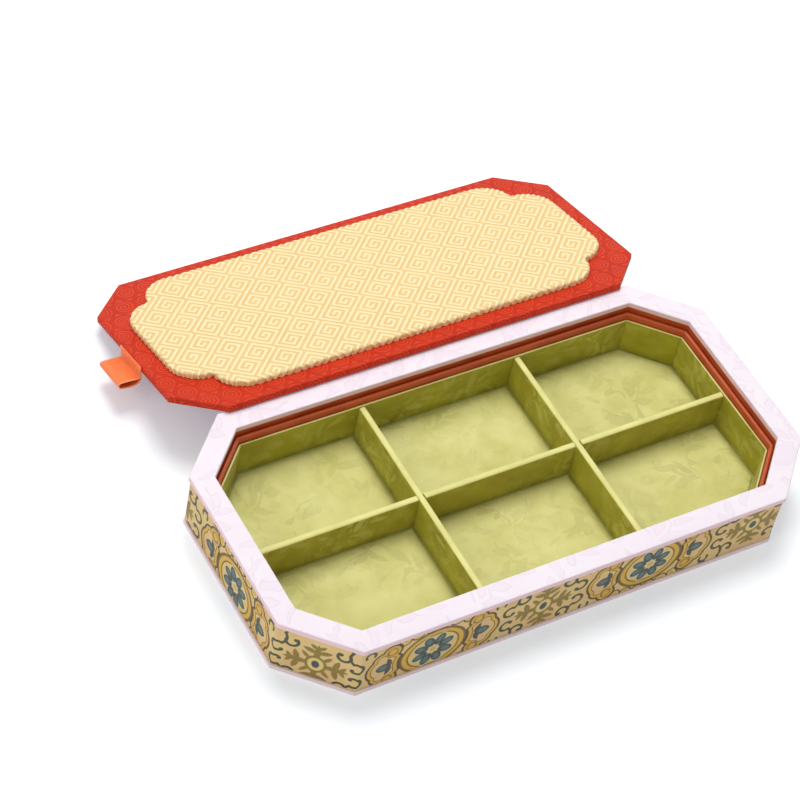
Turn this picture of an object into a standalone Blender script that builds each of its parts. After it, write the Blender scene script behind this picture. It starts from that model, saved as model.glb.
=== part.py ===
"""Long octagonal jewelry tray with a loose drop-in lid.

The case is a card box: a base board, eight mitred side boards wrapped in brocade, and a wide
top frame covered in pale damask. Inside the frame, a recess wall and a seat ring carry the lid,
and a green insert with three dividers makes six compartments with padded floors. The lid lies
off the tray, face up, with one long edge on the rear rim and the other on the surface behind.

Metres, +Z up. The origin is the centre of the underside, +X runs along the tray and +Y to the
rear.
"""

import cmath
import math

import bmesh
import bpy
from mathutils import Vector
from mathutils.geometry import interpolate_bezier

# Outline and height of the tray
LENGTH = 0.260
WIDTH = 0.133
HEIGHT = 0.031
CHAMFER = 0.026

# Clearances
GLUE_GAP = 0.0003
LID_CLEARANCE = 0.0012
PAD_CLEARANCE = 0.0006

# Boards and skins of the case
FRAME_WIDTH = 0.0102
FRAME_BOARD = 0.0019
FRAME_COVER = 0.00045
FRAME_EDGE_RADIUS = 0.0003
FRAME_OVERHANG = 0.0008
BROCADE = 0.0005
WALL_BOARD = 0.0020
BASE_BOARD = 0.0020
BASE_SETBACK = 0.0002

# Recess that the lid drops into
RECESS_BOARD = 0.0016
RECESS_SETBACK = 0.0002
SEAT_WIDTH = 0.0019
SEAT_DEPTH = 0.0054
SEAT_EDGE_RADIUS = 0.0008

# Insert with its dividers and floor pads
INSERT_FLOOR = 0.0008
INSERT_BOARD = 0.0009
INSERT_DEPTH = 0.0086
DIVIDER_BOARD = 0.0030
DIVIDER_DROP = 0.0002
CROSS_DIVIDER_X = 0.0395
PAD_EDGE = 0.0005
PAD_CROWN = 0.0017
PAD_SHOULDER = 0.0110
PAD_SHOULDER_SHARES = ((0.05, 0.36), (0.10, 0.28), (0.22, 0.22), (0.63, 0.14))

# Lid, from its lining up
LID_LINING = 0.0004
LID_BOARD = 0.0016
LID_COVER = 0.0004
LID_EDGE_RADIUS = 0.0003
CARTOUCHE_BOARD = 0.0018
CARTOUCHE_COVER = 0.0005
CARTOUCHE_EDGE_RADIUS = 0.0007
CARTOUCHE_END_MARGIN = 0.0092
CARTOUCHE_SIDE_MARGIN = 0.0088
CARTOUCHE_LOBE = 0.0145
CARTOUCHE_LOBE_STEPS = 7
LEAN_OVERLAP = 0.0020

# Ribbon by which the lid is lifted
RIBBON_THICKNESS = 0.0003
RIBBON_WIDTH = 0.0200
RIBBON_REACH = 0.0105
RIBBON_ARCH = 0.0014
RIBBON_LOOP = 0.0026
RIBBON_DIP_SHARE = 0.4
RIBBON_LIE_SHARE = 0.7
RIBBON_CREST_SHARE = 0.5

# Tools of the model itself
ROUND_SEGMENTS = 3
ROUND_PROFILE = 0.5
PATH_STEPS = 8
CUT_OVERRUN = 0.0010
WELD = 0.000001
FOLD_ANGLE = math.radians(30)
CHAMFER_TURN = math.radians(45)

# Heights in the case
wall_low = BASE_BOARD + GLUE_GAP
frame_board_top = HEIGHT - FRAME_COVER - GLUE_GAP
frame_low = frame_board_top - FRAME_BOARD
wall_top = frame_low - GLUE_GAP
seat_top = HEIGHT - SEAT_DEPTH
insert_floor_top = wall_low + INSERT_FLOOR
insert_low = insert_floor_top + GLUE_GAP
insert_top = HEIGHT - INSERT_DEPTH
divider_top = insert_top - DIVIDER_DROP

# Distances in from the outline of the tray
wall_outer = FRAME_OVERHANG + BROCADE + GLUE_GAP
wall_inner = wall_outer + WALL_BOARD
recess_inner = FRAME_WIDTH - RECESS_SETBACK
recess_outer = recess_inner - RECESS_BOARD
seat_outer = recess_inner + GLUE_GAP
seat_inner = seat_outer + SEAT_WIDTH
insert_outer = seat_inner + GLUE_GAP
insert_inner = insert_outer + INSERT_BOARD
lid_edge = FRAME_WIDTH + LID_CLEARANCE
lid_board_edge = lid_edge + LID_COVER + GLUE_GAP

# Heights in the lid, from the middle of its thickness
lid_thickness = LID_LINING + LID_BOARD + LID_COVER + 2 * GLUE_GAP
lid_low = -lid_thickness / 2
lid_top = lid_thickness / 2
lid_board_low = lid_low + LID_LINING + GLUE_GAP
cartouche_low = lid_top + GLUE_GAP
cartouche_board_top = cartouche_low + CARTOUCHE_BOARD
cartouche_top = cartouche_board_top + GLUE_GAP + CARTOUCHE_COVER

# Lid in the recess and leaning on the rear rim, as y + z j of its centre
lid_width = WIDTH - 2 * lid_edge
lean = math.asin(HEIGHT / (lid_width - LEAN_OVERLAP))
lid_closed = complex(0, seat_top + GLUE_GAP + lid_top)
rim_contact = complex(WIDTH / 2, HEIGHT + GLUE_GAP)
down_slope = cmath.exp(-1j * lean)
lid_resting = rim_contact + (lid_width / 2 - LEAN_OVERLAP + 1j * lid_top) * down_slope

# One turn about this axis carries the centre of the lid from the lean to the recess
swing = math.pi + lean
full_turn = cmath.exp(1j * swing)
swing_axis = (lid_closed - full_turn * lid_resting) / (1 - full_turn)


def clear_scene():
    for obj in list(bpy.data.objects):
        bpy.data.objects.remove(obj)


def new_collection(name):
    collection = bpy.data.collections.new(name)
    bpy.context.scene.collection.children.link(collection)
    return collection


def finish(name, red, green, blue, roughness, sheen=0.0):
    """A cloth or paper finish from a display colour of 0 to 255."""
    material = bpy.data.materials.new(name)
    material.use_nodes = True
    shader = material.node_tree.nodes["Principled BSDF"]
    linear = [(channel / 255) ** 2.2 for channel in (red, green, blue)]
    shader.inputs["Base Color"].default_value = (*linear, 1)
    shader.inputs["Roughness"].default_value = roughness
    shader.inputs["Metallic"].default_value = 0
    shader.inputs["Sheen Weight"].default_value = sheen
    material.diffuse_color = (*linear, 1)
    return material


def octagon(inset):
    """Outline of the tray drawn in by inset, anticlockwise from the front edge's left end."""
    x = LENGTH / 2 - inset
    y = WIDTH / 2 - inset
    leg = CHAMFER - 2 * inset * (1 - math.cos(CHAMFER_TURN))
    return [
        (leg - x, -y),
        (x - leg, -y),
        (x, leg - y),
        (x, y - leg),
        (x - leg, y),
        (leg - x, y),
        (-x, y - leg),
        (-x, leg - y),
    ]


def flat_piece(name, outlines, low, high, material, parent=None):
    """A board or sheet with these outlines, between two heights, as a filled 2D curve."""
    curve = bpy.data.curves.new(name, "CURVE")
    curve.dimensions = "2D"
    curve.fill_mode = "BOTH"
    curve.extrude = (high - low) / 2
    for outline in outlines:
        spline = curve.splines.new("POLY")
        spline.points.add(len(outline) - 1)
        for point, place in zip(spline.points, outline):
            point.co = (place[0], place[1], 0, 1)
        spline.use_cyclic_u = True
    curve.materials.append(material)
    piece = bpy.data.objects.new(name, curve)
    piece.location.z = (low + high) / 2
    piece.parent = parent
    parts.objects.link(piece)
    return piece


def face_outwards(solid):
    """Turns the faces of a closed shape to point away from its inside."""
    bmesh.ops.recalc_face_normals(solid, faces=solid.faces)
    if solid.calc_volume(signed=True) < 0:
        bmesh.ops.reverse_faces(solid, faces=solid.faces)
    solid.normal_update()


def mesh_piece(name, solid, low, high, material, parent=None):
    """Draws the flat faces of a bmesh up from one height to another and makes them a piece."""
    drawn = bmesh.ops.extrude_face_region(solid, geom=solid.faces[:])
    raised = [item for item in drawn["geom"] if isinstance(item, bmesh.types.BMVert)]
    bmesh.ops.translate(solid, verts=raised, vec=(0, 0, high - low))
    bmesh.ops.translate(solid, verts=solid.verts, vec=(0, 0, low))
    face_outwards(solid)
    mesh = bpy.data.meshes.new(name)
    solid.to_mesh(mesh)
    solid.free()
    mesh.materials.append(material)
    piece = bpy.data.objects.new(name, mesh)
    piece.parent = parent
    parts.objects.link(piece)
    return piece


def flat_face(solid, outline):
    """One face with this outline, at zero height."""
    face = solid.faces.new([solid.verts.new((point[0], point[1], 0)) for point in outline])
    face.normal_update()
    return face


def plate_piece(name, outline, low, high, material, parent=None):
    """A plate as a mesh, for one that is rounded or cut."""
    plate = bmesh.new()
    flat_face(plate, outline)
    return mesh_piece(name, plate, low, high, material, parent)


def ring_piece(name, outer, inner, low, high, material):
    """An octagonal ring of even width, for one that is rounded or cut."""
    ring = bmesh.new()
    middle = flat_face(ring, octagon(outer))
    bmesh.ops.inset_individual(ring, faces=[middle], thickness=inner - outer, use_even_offset=True)
    bmesh.ops.delete(ring, geom=[middle], context="FACES")
    return mesh_piece(name, ring, low, high, material)


def round_top(piece, radius):
    """Rounds every edge where the top of a flat piece meets its sides."""
    solid = bmesh.new()
    solid.from_mesh(piece.data)
    top = max(vertex.co.z for vertex in solid.verts)
    rim = [
        edge
        for edge in solid.edges
        if min(vertex.co.z for vertex in edge.verts) > top - WELD
        and edge.calc_face_angle(0) > FOLD_ANGLE
    ]
    bmesh.ops.bevel(
        solid,
        geom=rim,
        offset=radius,
        segments=ROUND_SEGMENTS,
        profile=ROUND_PROFILE,
        affect="EDGES",
    )
    bmesh.ops.triangulate(solid, faces=solid.faces, ngon_method="BEAUTY")
    solid.to_mesh(piece.data)
    solid.free()
    piece.data.shade_smooth()
    piece.data.set_sharp_from_angle(angle=FOLD_ANGLE)


def cut(piece, cutter):
    """Hollows a piece with a hidden cutter that has the same parent."""
    parts.objects.unlink(cutter)
    cutters.objects.link(cutter)
    cutter.hide_render = True
    cutter.display_type = "WIRE"
    hollow = piece.modifiers.new("hollow", "BOOLEAN")
    hollow.operation = "DIFFERENCE"
    hollow.solver = "EXACT"
    hollow.object = cutter


def mitred_boards(names, outer, inner, low, high, material):
    """Eight upright boards round the octagon, parted at their mitres."""
    mitre_angle = (math.pi - CHAMFER_TURN) / 2
    parting = GLUE_GAP / 2 / math.sin(mitre_angle)
    outside = [Vector(point) for point in octagon(outer)]
    inside = [Vector(point) for point in octagon(inner)]
    for side, name in enumerate(names):
        end = (side + 1) % len(names)
        along = (outside[end] - outside[side]).normalized() * parting
        outline = [
            outside[side] + along,
            outside[end] - along,
            inside[end] - along,
            inside[side] + along,
        ]
        flat_piece(name, [outline], low, high, material)


def divider(name, half_length, notches, from_top, place, turn, material):
    """An upright board along its own X, notched to half its height to lock over another."""
    middle = (insert_low + divider_top) / 2
    half_height = (divider_top - insert_low) / 2
    notch_half = DIVIDER_BOARD / 2 + GLUE_GAP
    notch_end = GLUE_GAP / 2
    outline = [(-half_length, -half_height)]
    for x in notches:
        outline += [
            (x - notch_half, -half_height),
            (x - notch_half, notch_end),
            (x + notch_half, notch_end),
            (x + notch_half, -half_height),
        ]
    outline += [(half_length, -half_height), (half_length, half_height), (-half_length, half_height)]
    if from_top:
        outline = [(x, -z) for x, z in reversed(outline)]
    board = flat_piece(name, [outline], -DIVIDER_BOARD / 2, DIVIDER_BOARD / 2, material)
    board.location = (place, 0, middle)
    board.rotation_euler = (math.pi / 2, 0, turn)


def floor_pad(name, outline, material):
    """A padded card: low sides, a rounded shoulder and a crown that is nearly flat."""
    piece = plate_piece(name, outline, insert_low, insert_low + PAD_EDGE, material)
    pad = bmesh.new()
    pad.from_mesh(piece.data)
    top = max(pad.faces, key=lambda face: face.calc_center_median().z)
    for inset_share, rise_share in PAD_SHOULDER_SHARES:
        inset = inset_share * PAD_SHOULDER
        rise = rise_share * PAD_CROWN
        bmesh.ops.inset_individual(pad, faces=[top], thickness=inset, depth=rise, use_even_offset=True)
    pad.to_mesh(piece.data)
    pad.free()
    piece.data.shade_smooth()
    piece.data.set_sharp_from_angle(angle=FOLD_ANGLE)


def compartment(column, row):
    """Floor outline of one compartment: column is -1, 0 or 1 and row is -1 or 1."""
    room = octagon(insert_inner + PAD_CLEARANCE)
    right, chamfer_y = room[3]
    chamfer_x, rear = room[4]
    wall = DIVIDER_BOARD / 2 + PAD_CLEARANCE
    if column == 0:
        edge = CROSS_DIVIDER_X - wall
        return [(-edge, row * wall), (edge, row * wall), (edge, row * rear), (-edge, row * rear)]
    near = CROSS_DIVIDER_X + wall
    outline = [(near, wall), (right, wall), (right, chamfer_y), (chamfer_x, rear), (near, rear)]
    return [(column * x, row * y) for x, y in outline]


def arc(x, y, radius, start, end):
    """Points on part of a circle, from one angle to another, both included."""
    shares = [step / CARTOUCHE_LOBE_STEPS for step in range(CARTOUCHE_LOBE_STEPS + 1)]
    angles = [start + (end - start) * share for share in shares]
    return [(x + radius * math.cos(angle), y + radius * math.sin(angle)) for angle in angles]


def cartouche(inset):
    """Panel outline with two round lobes at each corner, meeting in a notch."""
    half_x = LENGTH / 2 - lid_edge - CARTOUCHE_END_MARGIN
    half_y = WIDTH / 2 - lid_edge - CARTOUCHE_SIDE_MARGIN
    lobe = CARTOUCHE_LOBE - inset
    quarter = math.pi / 2
    outer_lobe = arc(half_x - CARTOUCHE_LOBE, half_y - 2 * CARTOUCHE_LOBE, lobe, 0, quarter)
    inner_lobe = arc(half_x - 2 * CARTOUCHE_LOBE, half_y - CARTOUCHE_LOBE, lobe, 0, quarter)
    notch_x = half_x - CARTOUCHE_LOBE - inset
    notch_y = half_y - CARTOUCHE_LOBE - inset
    corner = [point for point in outer_lobe if point[0] > notch_x + WELD]
    corner += [(notch_x, notch_y)]
    corner += [point for point in inner_lobe if point[1] > notch_y + WELD]
    rear_left = [(-x, y) for x, y in reversed(corner)]
    return corner + rear_left + [(-x, -y) for x, y in corner] + [(x, -y) for x, y in reversed(corner)]


def shifted(path, distance):
    """The path moved to its left, across its own direction."""
    moved = []
    for index, point in enumerate(path):
        before = path[max(index - 1, 0)]
        after = path[min(index + 1, len(path) - 1)]
        along = (after - before).normalized()
        moved.append(point + distance * Vector((-along.y, along.x)))
    return moved


def ribbon_outlines():
    """Side view of the ribbon: a stem of two layers that part into a loop over the rim."""
    half = RIBBON_THICKNESS / 2
    rim = HEIGHT - lid_closed.imag
    lying = rim + GLUE_GAP + half
    bend = RIBBON_LOOP / 2
    tip = bend - RIBBON_REACH
    left_foot = Vector((-half, rim))
    right_foot = Vector((half, rim))
    over_rim = interpolate_bezier(
        left_foot,
        (-half, rim + RIBBON_ARCH),
        (tip * RIBBON_DIP_SHARE, lying),
        (tip * RIBBON_LIE_SHARE, lying),
        PATH_STEPS,
    )
    fold = [
        Vector((tip + bend * math.cos(angle), lying + bend * (1 + math.sin(angle))))
        for angle in [-math.pi * (1 / 2 + step / PATH_STEPS) for step in range(PATH_STEPS + 1)]
    ]
    back_over = interpolate_bezier(
        fold[-1],
        (tip * RIBBON_CREST_SHARE, lying + RIBBON_LOOP + RIBBON_ARCH / 2),
        (half, rim + RIBBON_LOOP + RIBBON_ARCH),
        right_foot,
        PATH_STEPS,
    )
    loop = [point.to_2d() for point in over_rim] + fold + [point.to_2d() for point in back_over[1:]]
    whole = [Vector((-half, lid_low))] + loop + [Vector((half, lid_low))]
    outside = shifted(whole, half)
    inside = shifted(loop, -half)[1:-1]
    return outside, [Vector((0, rim))] + inside


clear_scene()
parts = new_collection("jewelry_tray")
cutters = new_collection("jewelry_tray_cutters")

pink_paper = finish("pink_paper", 236, 208, 215, 0.75)
grey_board = finish("grey_board", 150, 142, 130, 0.90)
side_brocade = finish("side_brocade", 205, 172, 110, 0.55, sheen=0.2)
lilac_damask = finish("lilac_damask", 244, 230, 243, 0.50, sheen=0.2)
terracotta_cloth = finish("terracotta_cloth", 176, 76, 42, 0.60, sheen=0.2)
green_damask = finish("green_damask", 178, 176, 88, 0.60, sheen=0.2)
red_damask = finish("red_damask", 208, 66, 36, 0.55, sheen=0.2)
gold_brocade = finish("gold_brocade", 238, 206, 142, 0.50, sheen=0.2)
orange_satin = finish("orange_satin", 250, 118, 42, 0.35, sheen=0.3)

# Base board
flat_piece("base_board", [octagon(BASE_SETBACK)], 0, BASE_BOARD, pink_paper)

# Side boards and the brocade round them
side_names = [
    "side_front",
    "corner_front_right",
    "end_right",
    "corner_back_right",
    "side_back",
    "corner_back_left",
    "end_left",
    "corner_front_left",
]
mitred_boards(side_names, wall_outer, wall_inner, wall_low, wall_top, grey_board)
wrap_outlines = [octagon(FRAME_OVERHANG), octagon(FRAME_OVERHANG + BROCADE)]
flat_piece("brocade_wrap", wrap_outlines, wall_low, wall_top, side_brocade)

# Top frame and its cover, which turns down over both edges
frame_outlines = [
    octagon(FRAME_COVER + GLUE_GAP),
    octagon(FRAME_WIDTH - FRAME_COVER - GLUE_GAP),
]
flat_piece("top_frame", frame_outlines, frame_low, frame_board_top, grey_board)
frame_cover = ring_piece("frame_cover", 0, FRAME_WIDTH, frame_low, HEIGHT, lilac_damask)
round_top(frame_cover, FRAME_EDGE_RADIUS)
frame_hollow = ring_piece(
    "frame_hollow",
    FRAME_COVER,
    FRAME_WIDTH - FRAME_COVER,
    frame_low - CUT_OVERRUN,
    HEIGHT - FRAME_COVER,
    lilac_damask,
)
cut(frame_cover, frame_hollow)

# Recess wall under the frame, and the rounded ring that the lid sits on
recess_outlines = [octagon(recess_outer), octagon(recess_inner)]
flat_piece("recess_wall", recess_outlines, wall_low, wall_top, terracotta_cloth)
seat_ring = ring_piece("seat_ring", seat_outer, seat_inner, wall_low, seat_top, terracotta_cloth)
round_top(seat_ring, SEAT_EDGE_RADIUS)

# Insert: floor card, eight walls and three dividers
flat_piece("insert_floor", [octagon(insert_outer)], wall_low, insert_floor_top, green_damask)
insert_names = ["insert_" + name.replace("side_", "wall_").replace("end_", "wall_") for name in side_names]
mitred_boards(insert_names, insert_outer, insert_inner, insert_low, insert_top, green_damask)
half_long = LENGTH / 2 - insert_inner - GLUE_GAP
half_cross = WIDTH / 2 - insert_inner - GLUE_GAP
crossings = (-CROSS_DIVIDER_X, CROSS_DIVIDER_X)
divider("divider_long", half_long, crossings, True, 0, 0, green_damask)
for side, place in zip(("left", "right"), crossings):
    divider("divider_cross_" + side, half_cross, (0,), False, place, math.pi / 2, green_damask)

# Padded floors of the six compartments
for row, row_name in ((-1, "front"), (1, "back")):
    for column, column_name in ((-1, "left"), (0, "middle"), (1, "right")):
        floor_pad(f"floor_pad_{row_name}_{column_name}", compartment(column, row), green_damask)

# Axes of the lid: the swing from the lean to the recess, and the turn that keeps its face up
swing_pivot = bpy.data.objects.new("lid_swing_axis", None)
swing_pivot.location = (0, swing_axis.real, swing_axis.imag)
swing_pivot.rotation_euler.x = -swing
level_pivot = bpy.data.objects.new("lid_level_axis", None)
level_pivot.parent = swing_pivot
level_pivot.location = (0, lid_closed.real - swing_axis.real, lid_closed.imag - swing_axis.imag)
level_pivot.rotation_euler.x = math.pi
for pivot in (swing_pivot, level_pivot):
    pivot.empty_display_size = LID_CLEARANCE
    parts.objects.link(pivot)

# Lid: lining, board and the red cover that turns down over its edge
lid_core = [octagon(lid_board_edge)]
lid_board_top = lid_top - LID_COVER - GLUE_GAP
flat_piece("lid_lining", lid_core, lid_low, lid_low + LID_LINING, red_damask, level_pivot)
flat_piece("lid_board", lid_core, lid_board_low, lid_board_top, grey_board, level_pivot)
lid_cover = plate_piece("lid_cover", octagon(lid_edge), lid_low, lid_top, red_damask, level_pivot)
round_top(lid_cover, LID_EDGE_RADIUS)
lid_hollow = plate_piece(
    "lid_hollow",
    octagon(lid_edge + LID_COVER),
    lid_low - CUT_OVERRUN,
    lid_top - LID_COVER,
    red_damask,
    level_pivot,
)
cut(lid_cover, lid_hollow)

# Raised cartouche on the lid: a card under a brocade cover
cartouche_card = [cartouche(CARTOUCHE_COVER + GLUE_GAP)]
flat_piece("cartouche_board", cartouche_card, cartouche_low, cartouche_board_top, grey_board, level_pivot)
cartouche_cover = plate_piece(
    "cartouche_cover", cartouche(0), cartouche_low, cartouche_top, gold_brocade, level_pivot
)
round_top(cartouche_cover, CARTOUCHE_EDGE_RADIUS)
cartouche_hollow = plate_piece(
    "cartouche_hollow",
    cartouche(CARTOUCHE_COVER),
    cartouche_low - CUT_OVERRUN,
    cartouche_top - CARTOUCHE_COVER,
    gold_brocade,
    level_pivot,
)
cut(cartouche_cover, cartouche_hollow)

# Ribbon at the left end of the lid, drawn as it lies when the lid is closed
half_ribbon = RIBBON_WIDTH / 2
ribbon = flat_piece("ribbon_pull", ribbon_outlines(), -half_ribbon, half_ribbon, orange_satin, swing_pivot)
ribbon_x = -LENGTH / 2 + lid_edge - GLUE_GAP - RIBBON_THICKNESS
ribbon.location = (ribbon_x, level_pivot.location.y, level_pivot.location.z)
ribbon.rotation_euler.x = math.pi / 2
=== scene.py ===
"""Looks of the long octagonal jewelry tray and its loose lid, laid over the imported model.

Metres, in the row frame: +X runs along the tray, +Y to the rear, +Z up. The figures of the
cloths are drawn in millimetres of cloth, and their turns are in degrees.
"""

import cmath
from functools import partial, reduce
from math import asin, atan2, cos, exp, pi, radians, sin, sqrt, tan

import bmesh
import bpy
import numpy as np
from mathutils import Matrix, Vector, noise
from mathutils.geometry import interpolate_bezier


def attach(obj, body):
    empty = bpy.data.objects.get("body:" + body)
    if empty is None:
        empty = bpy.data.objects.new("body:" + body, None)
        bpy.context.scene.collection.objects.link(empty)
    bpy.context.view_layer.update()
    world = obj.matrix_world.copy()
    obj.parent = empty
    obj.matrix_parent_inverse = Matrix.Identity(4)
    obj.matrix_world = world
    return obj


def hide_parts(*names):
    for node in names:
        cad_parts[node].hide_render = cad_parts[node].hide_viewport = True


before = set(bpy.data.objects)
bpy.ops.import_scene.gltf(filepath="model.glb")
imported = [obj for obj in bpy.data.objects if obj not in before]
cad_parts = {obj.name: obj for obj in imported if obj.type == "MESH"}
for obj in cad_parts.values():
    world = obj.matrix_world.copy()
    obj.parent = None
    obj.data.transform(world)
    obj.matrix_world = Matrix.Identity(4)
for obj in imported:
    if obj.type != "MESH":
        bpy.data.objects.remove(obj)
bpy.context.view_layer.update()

# ---------------------------------------------------------------------------------------------
# Base board. Stiff card wrapped in pale pink paper, glued under the side boards. Only its edge
# shows, as a thin pale line under the brocade, and its whole underside.

MILLIMETRES = 1000


class Amount:
    """A number, place or colour that changes over a surface, which plain sums can be done with."""

    def __init__(self, socket):
        self.socket = socket
        self.tree = socket.id_data

    def __add__(self, other):
        return reckon("ADD", self, other)

    def __sub__(self, other):
        return reckon("SUBTRACT", self, other)

    def __rsub__(self, other):
        return reckon("SUBTRACT", other, self)

    def __mul__(self, other):
        return reckon("MULTIPLY", self, other)

    def __truediv__(self, other):
        return reckon("DIVIDE", self, other)

    def __neg__(self):
        return self * -1.0

    def __abs__(self):
        return reckon("ABSOLUTE", self)


def feed(socket, value):
    """Links a value to a socket, or sets it there."""
    if isinstance(value, Amount):
        value.tree.links.new(value.socket, socket)
    else:
        socket.default_value = value


def add_node(tree, kind, inputs, gives=0, **settings):
    """A node with its settings and inputs, as the amount that it gives."""
    node = tree.nodes.new(kind)
    for name, value in settings.items():
        setattr(node, name, value)
    for name, value in inputs.items():
        feed(node.inputs[name], value)
    return Amount(node.outputs[gives])


def by_name(sockets):
    """Amounts by the names of their sockets."""
    return {socket.name: Amount(socket) for socket in sockets if socket.name}


def reckon(operation, *values, clamp=False):
    """One step of arithmetic, in the tree of the first amount in it."""
    tree = next(value.tree for value in values if isinstance(value, Amount))
    values = dict(enumerate(values))
    return add_node(tree, "ShaderNodeMath", values, operation=operation, use_clamp=clamp)


def line(value, slope, start):
    """Value times slope plus start."""
    return reckon("MULTIPLY_ADD", value, slope, start)


def ramp(value, slope, start):
    """The same, held between 0 and 1."""
    return reckon("MULTIPLY_ADD", value, slope, start, clamp=True)


def dye(red, green, blue):
    """A colour as it looks, 0 to 255, in the numbers that a shader takes."""
    return [(value / 255 / 12.92) if value < 11 else ((value / 255 + 0.055) / 1.055) ** 2.4
            for value in (red, green, blue)] + [1.0]


def tint(share, first, second):
    """First where share is 0, second where it is 1."""
    first, second = [colour if isinstance(colour, Amount) else dye(*colour)
                     for colour in (first, second)]
    inputs = {0: share, 6: first, 7: second}
    return add_node(share.tree, "ShaderNodeMix", inputs, gives=2, data_type="RGBA")


def mottle(place, scale, detail=2.0, roughness=0.5, gives=0):
    """Soft random patches of about 1 / scale metres."""
    inputs = {"Vector": place, "Scale": scale, "Detail": detail, "Roughness": roughness}
    return add_node(place.tree, "ShaderNodeTexNoise", inputs, gives)


def raise_by(height, distance, **under):
    """A normal from a height of 0 to 1 that stands for distance in metres."""
    inputs = {"Height": height, "Distance": distance, **under}
    return add_node(height.tree, "ShaderNodeBump", inputs)


def new_finish(name, roughness=0.5, sheen=0.0, specular=0.5):
    """An empty finish: its material and shader."""
    material = bpy.data.materials.new(name)
    material.use_nodes = True
    shader = material.node_tree.nodes["Principled BSDF"]
    shader.inputs["Roughness"].default_value = roughness
    shader.inputs["Sheen Weight"].default_value = sheen
    shader.inputs["Sheen Roughness"].default_value = 0.4
    shader.inputs["Specular IOR Level"].default_value = specular
    return material, shader


def dress(shader, colour, roughness, normal):
    """Joins a colour, a roughness, as its value, slope and start, and a normal to a shader."""
    feed(shader.inputs["Base Color"], colour)
    feed(shader.inputs["Roughness"], line(*roughness))
    feed(shader.inputs["Normal"], normal)


def object_place(tree):
    return add_node(tree, "ShaderNodeTexCoord", {}, gives="Object")


def paper(name, colour, fleck, fleck_share=0.35):
    """Uncoated paper or card with fine fibres."""
    material, shader = new_finish(name, roughness=0.8, specular=0.3)
    place = object_place(material.node_tree)
    fibres = mottle(place, 900, detail=4)
    colour = tint(ramp(fibres, 1.6, -0.55) * fleck_share, colour, fleck)
    dress(shader, colour, (mottle(place, 45), 0.2, 0.68), raise_by(fibres, 0.00004))
    return material


def paint(node_name, material):
    """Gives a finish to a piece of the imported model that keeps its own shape."""
    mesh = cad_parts[node_name].data
    mesh.materials.clear()
    mesh.materials.append(material)


paint("base_board", paper("pink_paper_finish", (251, 231, 231), (240, 211, 214)))

# ---------------------------------------------------------------------------------------------
# Side boards, top frame board, lid board and cartouche card. Grey board, cut and mitred. They
# are covered on every side, and only their raw edges could be seen with the covers off.

grey_board = paper("grey_board_finish", (152, 144, 132), (112, 104, 94), fleck_share=0.6)
for board in (
    "side_front", "side_back", "end_left", "end_right",
    "corner_front_left", "corner_front_right", "corner_back_left", "corner_back_right",
    "top_frame", "lid_board", "cartouche_board",
):
    paint(board, grey_board)

# ---------------------------------------------------------------------------------------------
# Brocade round the sides. One strip of woven figured silk, pulled round all eight boards and
# closed at the rear. Rosettes in oval rings take turns with star flowers between scrolls.

LENGTH = 0.260
WIDTH = 0.133
HEIGHT = 0.031
CORNER_CUT = 0.026
CORNER_TURN = radians(45)
CORNER_STEPS = 4
SEAM_SIDE = 4
WALL_LOW = 0.0023
WALL_TOP = 0.02805
WRAP_OUTER = 0.0008
WRAP_INNER = 0.0013
WRAP_FOLD = 0.0003
WRAP_ROWS = 7
RIPPLE_PATCH = 0.012
RIPPLE_SEED = 3.1
TOUCHING = 1e-6
SHARP_ANGLE = radians(40)
STEEPEST_LEVEL = 0.6


def octagon(inset):
    """Corners of the tray's outline drawn in by inset, from the front edge's left end."""
    x, y = LENGTH / 2 - inset, WIDTH / 2 - inset
    leg = CORNER_CUT - 2 * inset * (1 - cos(CORNER_TURN))
    near, far = x - leg, y - leg
    return [Vector(corner) for corner in (
        (-near, -y), (near, -y), (x, -far), (x, far), (near, y), (-near, y), (-x, far), (-x, -far)
    )]


def pairs(loop):
    """Each item of a closed loop with the one after it."""
    return zip(loop, loop[1:] + loop[:1])


OUTER_SIDES = [(end - start).length for start, end in pairs(octagon(0))]


def run_to(side):
    """Run along the outside from the first corner to the start of a side."""
    return sum(OUTER_SIDES[:side])


def octagon_loop(inset, corner, spacing):
    """Points round the outline with rounded corners, and each point's run along the outside."""
    corners = octagon(inset)
    reach = corner * tan(CORNER_TURN / 2)
    points, runs, run = [], [], 0.0
    for before, (here, after), length in zip(corners[-1:] + corners, pairs(corners), OUTER_SIDES):
        incoming, outgoing = (here - before).normalized(), (after - here).normalized()
        heading = atan2(incoming.y, incoming.x)
        centre = here - reach * incoming + corner * incoming.orthogonal()
        for step in range(CORNER_STEPS + 1):
            angle = heading + CORNER_TURN * step / CORNER_STEPS
            points.append(centre + corner * Vector((sin(angle), -cos(angle))))
            runs.append(run + reach * (2 * step / CORNER_STEPS - 1))
        pieces = max(1, round(length / spacing))
        for step in range(1, pieces):
            points.append((here + reach * outgoing).lerp(after - reach * outgoing, step / pieces))
            runs.append(run + reach + (length - 2 * reach) * step / pieces)
        run += length
    return points, runs, run


def new_shell():
    """An empty bmesh and its map of places on the cloth."""
    solid = bmesh.new()
    return solid, solid.loops.layers.uv.new("cloth")


def new_object(name, data):
    """An object at the origin of the scene."""
    made = bpy.data.objects.new(name, data)
    bpy.context.scene.collection.objects.link(made)
    return made


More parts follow.
